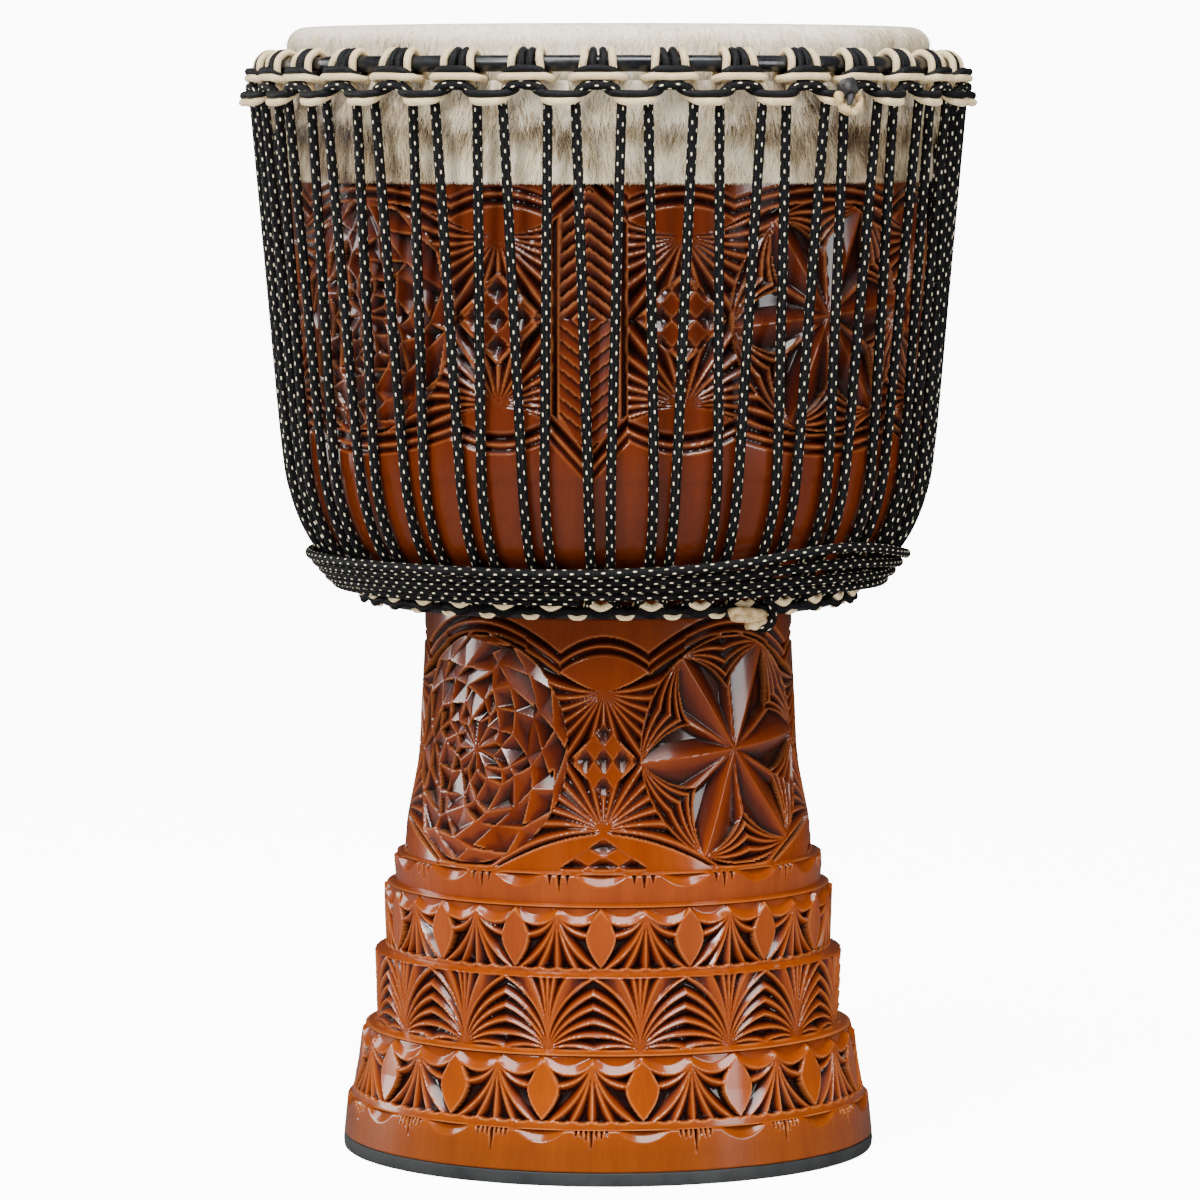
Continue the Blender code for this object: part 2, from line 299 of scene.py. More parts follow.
# Materials
def lacqueredWood():
    made, tree, shader = newMaterial("lacquered wood")
    place = objectSpace(tree)
    figure = useGroup(tree, woodFigure, {"Vector": place, "Grain Scale": 70.0})
    parts = tree.nodes.new("ShaderNodeSeparateXYZ")
    tree.links.new(place, parts.inputs[0])
    level = maths(tree, "DIVIDE", parts.outputs[2], drumHeight)
    light = ramp(tree, level, [
        (0.03, (0.22, 0.046, 0.001)), (0.06, (0.31, 0.058, 0.000)), (0.24, (0.29, 0.050, 0.000)),
        (0.31, (0.22, 0.036, 0.000)), (0.50, (0.13, 0.020, 0.001)), (0.80, (0.12, 0.018, 0.002)),
    ])
    dark = mixColour(tree, 1.0, light, (0.55, 0.40, 0.32, 1.0), "MULTIPLY")
    plain = mixColour(tree, maths(tree, "MULTIPLY", figure["Figure"], 0.7), light, dark)
    plain = mixColour(tree, spread(tree, figure["Mottle"], 0.42, 0.7, 0.0, 0.4), plain, dark)
    carved = mixColour(tree, 1.0, plain, (0.50, 0.34, 0.34, 1.0), "MULTIPLY")
    # The arris colour is partly wear and partly painted highlight
    arris = mixColour(tree, 0.3, light, (0.85, 0.34, 0.12, 1.0))
    # Painted shade in the cuts: the near-black recess colour and part of the carved tone
    tone = useGroup(tree, carvedToneAndShade, {
        "Plain": plain, "Carved": carved, "Recess Shade": (0.010, 0.0012, 0.0006, 1.0), "Arris": arris,
        "Cut Shade": mark(tree, "cut"), "Edge Wear And Highlight": mark(tree, "edge"),
    })
    tree.links.new(tone["Colour"], shader.inputs["Base Color"])
    rough = maths(tree, "ADD", tone["Roughness"], maths(tree, "MULTIPLY", figure["Pores"], 0.06))
    tree.links.new(rough, shader.inputs["Roughness"])
    shader.inputs["Specular IOR Level"].default_value = 0.12
    shader.inputs["Coat Weight"].default_value = 0.68
    shader.inputs["Coat Roughness"].default_value = 0.13
    bump(tree, shader, figure["Pores"], 0.00009, 0.45)
    return made


def braidedRope():
    made, tree, shader = newMaterial("spotted rope")
    around, along = laySpace(tree)
    cover = useGroup(tree, braid, {"Around": around, "Along": along, "Strands": 9.0, "Pitch": 0.0019})
    dots = useGroup(tree, ropeDots, {"Around": around, "Along": along})["Dots"]
    worn = useGroup(tree, handling, {"Vector": objectSpace(tree), "Scale": 120.0})
    black = mixColour(tree, worn["Mask"], (0.0022, 0.0022, 0.0028, 1.0), (0.0065, 0.0065, 0.0078, 1.0))
    # painted shade in the seams between strands
    black = mixColour(tree, cover["Seam"], black, (0.0012, 0.0012, 0.0016, 1.0))
    tree.links.new(mixColour(tree, dots, black, (0.90, 0.80, 0.56, 1.0)), shader.inputs["Base Color"])
    feed(tree, shader.inputs["Roughness"], spread(tree, cover["Height"], 0.0, 1.0, 0.8, 0.55))
    shader.inputs["Specular IOR Level"].default_value = 0.16
    height = maths(tree, "ADD", cover["Height"], maths(tree, "MULTIPLY", dots, 0.5))
    bump(tree, shader, height, 0.00042, 0.9)
    return made


def wovenCord(name, body, shadow, fleck, fleckShare):
    made, tree, shader = newMaterial(name)
    around, along = laySpace(tree)
    cover = useGroup(tree, braid, {"Around": around, "Along": along, "Strands": 7.0, "Pitch": 0.0016})
    worn = useGroup(tree, handling, {"Vector": objectSpace(tree), "Scale": 260.0})
    # the shadow colour is painted shade in the seams between strands
    colour = mixColour(tree, cover["Seam"], body, shadow)
    colour = mixColour(tree, maths(tree, "MULTIPLY", worn["Mask"], fleckShare), colour, fleck)
    tree.links.new(colour, shader.inputs["Base Color"])
    feed(tree, shader.inputs["Roughness"], spread(tree, cover["Height"], 0.0, 1.0, 0.8, 0.52))
    shader.inputs["Specular IOR Level"].default_value = 0.2
    bump(tree, shader, cover["Height"], 0.0003, 0.85)
    return made


def sleeveBlack():
    made, tree, shader = newMaterial("black sleeve")
    worn = useGroup(tree, handling, {"Vector": objectSpace(tree), "Scale": 70.0})
    tone = mixColour(tree, worn["Mask"], (0.004, 0.0045, 0.006, 1.0), (0.010, 0.011, 0.013, 1.0))
    tree.links.new(tone, shader.inputs["Base Color"])
    feed(tree, shader.inputs["Roughness"], spread(tree, worn["Mask"], 0.0, 1.0, 0.2, 0.42))
    bump(tree, shader, worn["Fine"], 0.0002, 0.25)
    return made


def dullIron():
    made, tree, shader = newMaterial("plain iron")
    worn = useGroup(tree, handling, {"Vector": objectSpace(tree), "Scale": 50.0})
    tone = mixColour(tree, worn["Mask"], (0.10, 0.10, 0.10, 1.0), (0.16, 0.10, 0.06, 1.0))
    tree.links.new(tone, shader.inputs["Base Color"])
    feed(tree, shader.inputs["Roughness"], spread(tree, worn["Mask"], 0.0, 1.0, 0.35, 0.7))
    shader.inputs["Metallic"].default_value = 0.8
    bump(tree, shader, worn["Fine"], 0.0002, 0.4)
    return made


def rubber():
    made, tree, shader = newMaterial("foot rubber")
    worn = useGroup(tree, handling, {"Vector": objectSpace(tree), "Scale": 40.0})
    tone = mixColour(tree, worn["Mask"], (0.012, 0.014, 0.015, 1.0), (0.026, 0.029, 0.030, 1.0))
    tree.links.new(tone, shader.inputs["Base Color"])
    feed(tree, shader.inputs["Roughness"], spread(tree, worn["Mask"], 0.0, 1.0, 0.62, 0.85))
    bump(tree, shader, worn["Fine"], 0.0003, 0.4)
    return made


def bareHide():
    made, tree, shader = newMaterial("goat hide")
    place = objectSpace(tree)
    worn = useGroup(tree, handling, {"Vector": place, "Scale": 16.0})
    streaks = noise(tree, stretched(tree, place, (1.0, 1.0, 0.2)), 420.0, 3.0, 0.6)
    cream = mixColour(tree, worn["Mask"], (0.80, 0.74, 0.62, 1.0), (0.66, 0.57, 0.44, 1.0))
    tone = mixColour(tree, spread(tree, streaks, 0.5, 0.72, 0.0, 0.6), cream, (0.33, 0.22, 0.12, 1.0))
    tree.links.new(tone, shader.inputs["Base Color"])
    shader.inputs["Roughness"].default_value = 0.75
    bump(tree, shader, streaks, 0.0005, 0.5)
    return made


def hairCoatLook():
    made, tree, shader = newMaterial("goat hair")
    tone = mark(tree, "tone")
    colour = ramp(tree, tone, [
        (0.0, (0.022, 0.010, 0.004)), (0.25, (0.15, 0.080, 0.036)), (0.5, (0.50, 0.37, 0.21)),
        (0.75, (0.86, 0.73, 0.48)), (1.0, (1.0, 0.95, 0.78)),
    ])
    tree.links.new(colour, shader.inputs["Base Color"])
    feed(tree, shader.inputs["Roughness"], spread(tree, tone, 0.0, 1.0, 0.5, 0.62))
    shader.inputs["Specular IOR Level"].default_value = 0.3
    return made


woodLook = lacqueredWood()
ropeLook = braidedRope()
blackCordLook = wovenCord(
    "black cord", (0.0030, 0.0030, 0.0040, 1.0), (0.0008, 0.0008, 0.001, 1.0), (0.009, 0.009, 0.011, 1.0), 0.5
)
creamCordLook = wovenCord(
    "cream cord", (0.86, 0.70, 0.42, 1.0), (0.34, 0.20, 0.08, 1.0), (0.42, 0.25, 0.10, 1.0), 0.35
)
sleeveLook = sleeveBlack()
ironLook = dullIron()
rubberLook = rubber()
hideLook = bareHide()
hairLook = hairCoatLook()
print("materials made")


# Mesh helpers
def meshPiece(name, points, faceLists, look, maps=None, marks=None, sharpAngle=None):
    # faceLists holds arrays of faces, each array with its own number of corners
    mesh = bpy.data.meshes.new(name)
    mesh.vertices.add(len(points))
    mesh.vertices.foreach_set("co", np.ascontiguousarray(points, np.float32).ravel())
    corners = np.concatenate([np.asarray(faces, np.int32).ravel() for faces in faceLists])
    sizes = np.concatenate([np.full(len(faces), np.shape(faces)[1]) for faces in faceLists])
    mesh.loops.add(len(corners))
    mesh.loops.foreach_set("vertex_index", corners)
    mesh.polygons.add(len(sizes))
    starts = np.concatenate([[0], np.cumsum(sizes)[:-1]]).astype(np.int32)
    mesh.polygons.foreach_set("loop_start", starts)
    mesh.update(calc_edges=True)
    for title, values in (maps or {}).items():
        layer = mesh.uv_layers.new(name=title)
        layer.data.foreach_set("uv", np.ascontiguousarray(values, np.float32).ravel())
    for title, values in (marks or {}).items():
        layer = mesh.attributes.new(title, "FLOAT", "POINT")
        layer.data.foreach_set("value", np.ascontiguousarray(values, np.float32).ravel())
    mesh.materials.append(look)
    mesh.shade_smooth()
    if sharpAngle:
        mesh.set_sharp_from_angle(angle=math.radians(sharpAngle))
    made = bpy.data.objects.new(name, mesh)
    bpy.context.scene.collection.objects.link(made)
    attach(made, "root")
    return made


def gridFaces(rows, columns, first=0, closeRows=False):
    # Quads between neighbouring rows of points, wound so that rows going up face outwards
    rowCount = rows if closeRows else rows - 1
    i, j = np.meshgrid(np.arange(rowCount), np.arange(columns), indexing="ij")
    nextRow = (i + 1) % rows
    nextColumn = (j + 1) % columns
    quads = np.stack([
        i * columns + j, i * columns + nextColumn,
        nextRow * columns + nextColumn, nextRow * columns + j,
    ], axis=-1)
    return quads.reshape(-1, 4) + first


def gridMap(rows, columns, closeRows=False):
    rowCount = rows if closeRows else rows - 1
    i, j = np.meshgrid(np.arange(rowCount), np.arange(columns), indexing="ij")
    low, high = i / rowCount, (i + 1) / rowCount
    left, right = j / columns, (j + 1) / columns
    return np.stack([
        np.stack([left, low], -1), np.stack([right, low], -1),
        np.stack([right, high], -1), np.stack([left, high], -1),
    ], axis=2).reshape(-1, 2)


def turned(name, section, look, columns=360, sharpAngle=40, wave=None):
    # Turns a closed (r, z) section, counter-clockwise with r to the right, round Z
    section = np.array(section, float)
    angles = 2 * np.pi * np.arange(columns) / columns
    r = np.repeat(section[:, :1], columns, axis=1)
    z = np.repeat(section[:, 1:], columns, axis=1)
    if wave is not None:
        r, z = wave(r, z, angles)
    points = np.stack([r * np.sin(angles), -r * np.cos(angles), z], axis=-1).reshape(-1, 3)
    faces = gridFaces(len(section), columns, closeRows=True)
    uv = gridMap(len(section), columns, closeRows=True)
    return meshPiece(name, points, [faces], look, {"OFBake": uv}, None, sharpAngle)


def smoothPath(points, closed=False, spacing=1.0 * mm):
    # A Catmull-Rom curve through the points, read again at even steps
    points = np.array(points, float)
    if closed:
        padded = np.concatenate([points[-1:], points, points[:2]])
    else:
        padded = np.concatenate([2 * points[:1] - points[1:2], points, 2 * points[-1:] - points[-2:-1]])
    share = np.linspace(0, 1, 12, endpoint=False)[:, None]
    p0, p1, p2, p3 = padded[:-3, None], padded[1:-2, None], padded[2:-1, None], padded[3:, None]
    curve = 0.5 * (2 * p1 + (p2 - p0) * share + (2 * p0 - 5 * p1 + 4 * p2 - p3) * share ** 2
                   + (3 * p1 - p0 - 3 * p2 + p3) * share ** 3)
    dense = curve.reshape(-1, 3)
    dense = np.concatenate([dense, padded[-2:-1] if closed else points[-1:]])
    lengths = np.concatenate([[0], np.cumsum(np.linalg.norm(np.diff(dense, axis=0), axis=1))])
    count = max(int(round(lengths[-1] / spacing)), 4)
    at = np.linspace(0, lengths[-1], count + 1)
    if closed:
        at = at[:-1]
    return np.stack([np.interp(at, lengths, dense[:, k]) for k in range(3)], axis=1), lengths[-1]


def cordMesh(path, radius, sides, closed, length, girth=None):
    # Sweeps a round section along an evenly spaced path without letting it twist
    ahead = np.roll(path, -1, axis=0) - path
    if not closed:
        ahead[-1] = path[-1] - path[-2]
    along = ahead + np.roll(ahead, 1, axis=0)
    if not closed:
        along[0] = ahead[0]
    along /= np.maximum(np.linalg.norm(along, axis=1, keepdims=True), 1e-12)
    sideways = np.cross(along[0], (0.0, 0.0, 1.0))
    if np.linalg.norm(sideways) < 0.3:
        sideways = np.cross(along[0], (path[0][0], path[0][1], 0.0))
    sidesAt = np.empty_like(path)
    for k in range(len(path)):
        t = along[k]
        sideways = sideways - t * (sideways[0] * t[0] + sideways[1] * t[1] + sideways[2] * t[2])
        sideways = sideways / math.sqrt(sideways[0] ** 2 + sideways[1] ** 2 + sideways[2] ** 2)
        sidesAt[k] = sideways
    upAt = np.cross(along, sidesAt)
    turn = np.zeros(len(path))
    if closed:
        last = sidesAt[-1] - along[0] * np.dot(sidesAt[-1], along[0])
        error = math.atan2(np.dot(last, upAt[0]), np.dot(last, sidesAt[0]))
        turn = -error * np.arange(len(path)) / len(path)
    angle = turn[:, None] + 2 * np.pi * np.arange(sides)[None, :] / sides
    reach = radius if girth is None else radius * girth[:, None, None]
    points = path[:, None, :] + reach * (
        np.cos(angle)[..., None] * sidesAt[:, None, :] + np.sin(angle)[..., None] * upAt[:, None, :]
    )
    rows = len(path)
    faces = gridFaces(rows, sides, closeRows=closed)
    rowCount = rows if closed else rows - 1
    i, j = np.meshgrid(np.arange(rowCount), np.arange(sides), indexing="ij")
    step = length / rowCount
    cornersAround = np.stack([j, j + 1, j + 1, j], axis=-1) / sides
    cornersAlong = np.stack([i, i, i + 1, i + 1], axis=-1) * step
    lay = np.stack([cornersAround, cornersAlong], axis=-1).reshape(-1, 2)
    # The unwrapped cord is folded into side by side strips that fill the square
    strips = max(int(math.sqrt(length / (2 * math.pi * radius))), 1)
    perStrip = math.ceil(rowCount / strips)
    strip = (i // perStrip)[..., None]
    inside = i[..., None] - strip * perStrip + np.array([0, 0, 1, 1])
    across = (strip + cornersAround * 0.92 + 0.04) / strips
    bake = np.stack([across, inside / perStrip], axis=-1).reshape(-1, 2)
    return points.reshape(-1, 3), faces, lay, bake


def cordPiece(name, controls, radius, look, closed=False, sides=12, spacing=1.2 * mm, girth=None):
    path, length = smoothPath(controls, closed, spacing)
    profile = None if girth is None else girth(np.linspace(0, 1, len(path)))
    points, faces, lay, bake = cordMesh(path, radius, sides, closed, length, profile)
    faceLists = [faces]
    if not closed:
        ends = np.array([np.arange(sides)[::-1], (len(path) - 1) * sides + np.arange(sides)])
        faceLists.append(ends)
        ring = np.stack([np.cos(np.arange(sides)), np.sin(np.arange(sides))], -1) * 0.001 + 0.002
        lay = np.concatenate([lay, ring, ring])
        bake = np.concatenate([bake, ring, ring])
    return meshPiece(name, points, faceLists, look, {"lay": lay, "OFBake": bake}, None, 60)


def polar(degrees, r, z):
    # Works on numbers and on arrays
    angle = np.radians(degrees)
    return np.stack(np.broadcast_arrays(r * np.sin(angle), -r * np.cos(angle), z), axis=-1)


# Carved shell
shell = {
    "bowlRadius": 170.8, "rimHeight": 598.3,  # millimetres, the sizes that the outline below is drawn for
    "columns": 1440,
    "axis": -1.7,  # angle of the carving's middle, in degrees
    "inner": [(156.3, 594.8), (153.0, 560.0), (154.0, 420.0), (150.5, 380.0), (147.0, 358.0), (132.0, 333.0),
              (112.0, 310.0), (80.0, 289.0), (66.0, 279.0), (61.0, 262.0), (63.0, 240.0), (72.0, 205.0),
              (98.0, 110.0), (121.0, 7.5)],
}
# Outline from the foot up: (radius, height, spacing of the rows up to this point)
outline = [
    (141.9, 7.5, 1.0), (142.5, 8.3, 0.6), (140.5, 27.9, 0.58), (139.8, 28.7, 0.5),
    (138.2, 29.5, 0.6), (135.0, 47.0, 0.58), (132.7, 65.6, 0.58), (132.1, 66.3, 0.5),
    (124.9, 68.5, 1.2), (125.9, 106.4, 0.58), (125.3, 107.1, 0.5),
    (119.9, 108.8, 1.2), (120.9, 141.8, 0.58), (120.3, 142.5, 0.5),
    (114.3, 144.0, 1.2), (115.6, 158.0, 0.58), (115.0, 158.8, 0.5),
    (110.0, 160.3, 1.2),
    (109.3, 170.0, 0.58), (107.8, 182.0, 0.58), (105.2, 193.0, 0.58), (103.2, 201.0, 0.58),
    (102.0, 210.0, 0.58), (101.4, 220.0, 0.58), (100.9, 234.0, 0.58), (100.3, 246.0, 0.58),
    (99.2, 256.0, 0.58), (98.6, 270.0, 0.58), (98.4, 291.0, 0.58), (97.6, 292.2, 0.5),
    (113.0, 297.0, 3.0), (127.0, 303.8, 3.0), (141.0, 314.0, 2.5), (149.0, 321.6, 2.5), (155.5, 330.5, 2.2),
    (160.8, 340.8, 2.2), (164.8, 352.0, 2.0), (168.0, 365.5, 2.0), (169.7, 380.0, 0.7), (170.6, 405.0, 0.7),
    (170.8, 430.0, 0.7), (170.6, 470.0, 0.7), (169.9, 505.0, 0.7), (169.6, 521.0, 0.7), (169.3, 560.0, 6.0),
    (169.3, 590.0, 6.0), (168.2, 594.3, 2.0), (165.3, 597.2, 2.0), (161.3, 598.3, 2.0),
]


def outlineRows():
    rows = [outline[0][:2]]
    for (r0, z0, _), (r1, z1, step) in zip(outline[:-1], outline[1:]):
        count = max(int(round(math.hypot(r1 - r0, z1 - z0) / step)), 1)
        for k in range(1, count + 1):
            rows.append((r0 + (r1 - r0) * k / count, z0 + (z1 - z0) * k / count))
    return np.array(rows)


def eased(rows, low, high, passes):
    # Rounds the outline between two heights, where it has no ledges
    inside = np.where((rows[:, 1] > low) & (rows[:, 1] < high))[0]
    for _ in range(passes):
        r = rows[:, 0].copy()
        rows[inside, 0] = (r[inside - 1] + r[inside + 1]) / 2
    return rows


def cellOf(angle, phase, pitch):
    turn = (angle - phase) / pitch
    index = np.round(turn)
    return (turn - index) * pitch, index


def fluted(x, y, ridges, bend, reach, steep, deepest):
    # V flutes between ridges that leave the origin at the given angles and curve outwards
    r = np.hypot(x, y)
    opening = 1 + bend * r / reach
    start = np.degrees(np.arctan2(x, y)) / opening
    ridges = np.asarray(ridges, float)
    k = np.clip(np.searchsorted(ridges, start), 1, len(ridges) - 1)
    side = np.maximum(np.minimum(start - ridges[k - 1], ridges[k] - start), 0)
    return np.minimum(np.radians(side * opening) * r * steep, deepest), start, r


def vesica(x, y, wide, tall):
    # Above zero inside a pointed oval
    return wide * (1 - np.abs(y / tall) ** 1.7) - np.abs(x)


def groove(distance, width, deep):
    return np.maximum(deep * (1 - np.abs(distance) / (width / 2)), 0)


def chipDiamonds(x, y, wide, tall, deep):
    # Rows of plain diamonds between rows of notches, each notch deepest along its level middle
    a = x / wide + y / tall
    b = x / wide - y / tall
    i, j = np.round(a), np.round(b)
    u = (a - i) + (b - j)
    v = (a - i) - (b - j)
    notch = deep * np.clip(1 - np.abs(v), 0, 1) * np.clip(1.2 - np.abs(u), 0, 1)
    return np.where((i - j) % 2 == 0, notch, 0.3)


def fanTier(x, s, node, bottom, ovalWide, ovalTall, half):
    # Fans of flutes hanging from a sloped lip, with plain pointed ovals standing between them
    ridges = [-60, -39, -27, -12.6, -7.5, 0, 7.5, 12.6, 27, 39, 60]
    y = s - node
    cut, start, r = fluted(x, y, ridges, 1.5, bottom - node, 1.15, 4.8)
    lip = (np.abs(start) > 39) | (y < 0)
    above = np.radians(np.minimum((np.abs(start) - 39) * (1 + 1.5 * r / (bottom - node)), 90)) * r
    cut = np.where(lip, np.minimum(np.maximum(above, -y) * 0.7, 3.2), cut)
    cut = np.where(s > bottom, np.maximum(0.0, cut - (s - bottom) * 5.0), cut)
    fromOval = np.abs(x) - half
    inside = vesica(fromOval, s - ovalTall[0], ovalWide, ovalTall[1])
    wall = np.clip(-inside / 0.6, 0, 1)
    # The second value marks the up-facing lip, where the painted shade of the cut is left off
    return np.where(inside > 0, 0.0, cut * wall), lip * (inside <= 0) * 0.85


def archTier(x, s, height):
    # Arches that rise from the foot of each upright spray as arcs, and meet in points between them
    y = np.maximum(height - s, 0.01)
    ax = np.abs(x)
    r = np.hypot(ax, y)
    angle = np.degrees(np.arctan2(ax, y))
    swing = 0.74 * r  # degrees by which an arc has turned at this distance
    share = angle / np.maximum(swing, 0.01)
    spray = np.array([-0.20, 0.0, 0.20, 0.54])
    k = np.clip(np.searchsorted(spray, share), 1, 3)
    across = np.minimum(share - spray[k - 1], spray[k] - share)
    cut = np.clip(np.radians(across * swing) * r * 1.1, 0, 3.0)
    facet = np.minimum((share - 0.54) * 0.34, (1 - share) * 1.4)
    cut = np.where(share > 0.54, np.clip(np.radians(facet * swing) * r, 0, 2.4), cut)
    arcs = np.array([0.0, 12.0, 24.0, 38.5, 54.5, 72.0, 95.0])
    start = angle - swing
    k = np.clip(np.searchsorted(arcs, start), 1, len(arcs) - 1)
    first = (start - arcs[k - 1]) * 0.5 / 0.34
    second = (arcs[k] - start) * 0.5 / 0.66
    nested = np.clip(np.radians(np.minimum(first, second)) * r * 1.3, 0, 4.4)
    cut = np.where(share > 1, nested, cut)
    return cut * np.clip((s - 0.3) / 1.0, 0.15, 1) * np.clip((height - s) / 0.6, 0, 1)


def edgeBites(x, s, half, notches, biteWide, biteTall):
    # V notches hanging from the tier's upper edge at x = 0, and a long smooth scoop half a step away
    cut = np.zeros(np.broadcast(x, s).shape)
    for place, length, width in notches:
        taper = np.clip(1 - s / length, 0, 1)
        cut = np.maximum(cut, np.maximum(3.2 * taper - np.abs(x - place) * 3.2 * 2 / width, 0))
    fromBite = np.abs(x) - half
    tall = biteTall * (1 - (fromBite / biteWide) ** 2)
    scoop = np.maximum(tall - s, 0)
    # The second value marks the scoop, where the painted shade of the cut is left off
    return np.maximum(cut, scoop * 0.72), np.clip(scoop / 0.5, 0, 1)


def triangleFacets(x, y, points, triangles, outside):
    # Flat facets: the depth runs evenly across each triangle of (x, y, depth) points
    depth = np.full(x.shape, float(outside))
    for a, b, c in triangles:
        (x1, y1, d1), (x2, y2, d2), (x3, y3, d3) = points[a], points[b], points[c]
        area = (y2 - y3) * (x1 - x3) + (x3 - x2) * (y1 - y3)
        if abs(area) < 1e-9:
            continue
        w1 = ((y2 - y3) * (x - x3) + (x3 - x2) * (y - y3)) / area
        w2 = ((y3 - y1) * (x - x3) + (x1 - x3) * (y - y3)) / area
        w3 = 1 - w1 - w2
        inside = (w1 >= -1e-6) & (w2 >= -1e-6) & (w3 >= -1e-6)
        depth = np.where(inside, w1 * d1 + w2 * d2 + w3 * d3, depth)
    return depth


def starMedallion(x, y, radius, points=11):
    # Rings of corners, each ring turned half a step from the last and set high and low by turns
    rings = [(0.0, 0.4, 0.4), (0.23, 0.2, 4.4), (0.34, 4.4, 0.2), (0.46, 0.2, 4.8), (0.58, 4.6, 0.3),
             (0.70, 0.2, 4.8), (0.82, 4.8, 0.2), (0.95, 0.2, 4.6), (1.07, 4.4, 0.3)]
    corners = []
    count = points * 2
    for level, (share, first, second) in enumerate(rings):
        inner = 0 < level < len(rings) - 1
        for k in range(count):
            odd = k % 2
            jitter = draw.uniform(-1, 1, 3)
            swing = (0.12 if odd else -0.05) if level % 2 else (-0.08 if odd else 0.06)
            size = radius * (share * (1 + swing) + 0.048 * jitter[0] * inner)
            angle = 2 * math.pi * (k + 0.52 * jitter[1] * inner) / count + 0.12
            depth = max((second if odd else first) + 1.6 * jitter[2] * inner, 0.1)
            corners.append((size * math.sin(angle), size * math.cos(angle), depth))
    triangles = []
    for level in range(len(rings) - 1):
        for k in range(count):
            n = (k + 1) % count
            a, b = level * count + k, level * count + n
            c, d = (level + 1) * count + k, (level + 1) * count + n
            if (k + level) % 2:
                triangles += [(a, b, d), (a, d, c)]
            else:
                triangles += [(a, b, c), (b, d, c)]
    return triangleFacets(x, y, corners, triangles, 0.0)


def petalMedallion(x, y, radius, petals=6):
    # Broad folded leaves with a dart between each two, inside ribs that run from one leaf tip to the next
    r = np.hypot(x, y)
    angle = np.degrees(np.arctan2(x, y))
    sector = 360 / petals
    off, _ = cellOf(angle, 25.0, sector)
    w = np.abs(off) / (sector / 2)  # 0 along a leaf, 1 midway between two
    across = np.radians(np.abs(off)) * r
    reach = np.radians(sector / 2) * r
    side = np.where(off > 0, 0.58, 0.34)
    foot = 0.70 * reach  # where a leaf ends and the dart beside it begins
    leaf = np.where(w < 0.70, across * side, np.maximum(foot * side - (across - foot), 0.8))
    leaf = np.minimum(leaf + 0.1, 5.2)
    inward = (1 - r / radius) / np.maximum(w, 0.02)
    ribs = np.abs(((inward / 0.115) % 1.0) - 0.5) * 2
    ribDepth = np.minimum((1 - ribs) * 0.115 * radius * w * 0.62 + 0.6, 4.4)
    return np.where(inward < 0.46, ribDepth, leaf)


def medallion(off, index, ax, edgeTurn, rise):
    # Star and petal medallions by turns, centred between two panels; also gives the distance from the centre
    star = np.where(off > 0, index, index - 1) % 2
    x = np.where(off > 0, ax - edgeTurn, edgeTurn - ax)
    r = np.hypot(x, rise)
    stars = starMedallion(x, rise, medallionRadius)
    petals = petalMedallion(x, rise, medallionRadius)
    return np.where(r < medallionRadius, np.where(star > 0, stars, petals), 0.0), r


medallionRadius = 60.0


# Sizes of the carving are in millimetres and degrees
pedestal = {
    "radius": 104.0, "turn": 0.5, "squeeze": 2.6,  # panels front and back are a little narrower
    "arch": 273.4, "archHalf": 27, "archRise": 9.0, "sweepRise": 20.0, "border": 10.4,
    "topNode": 253.5, "middle": 217.5, "lowNode": 181.4, "medallion": 221.5, "foot": 160.6,
    "ridges": [-110, -88, -76, -64, -52, -41, -30, -15, 0, 15, 30, 41, 52, 64, 76, 88, 110],
    "diamond": (21.0, 19.0),
}


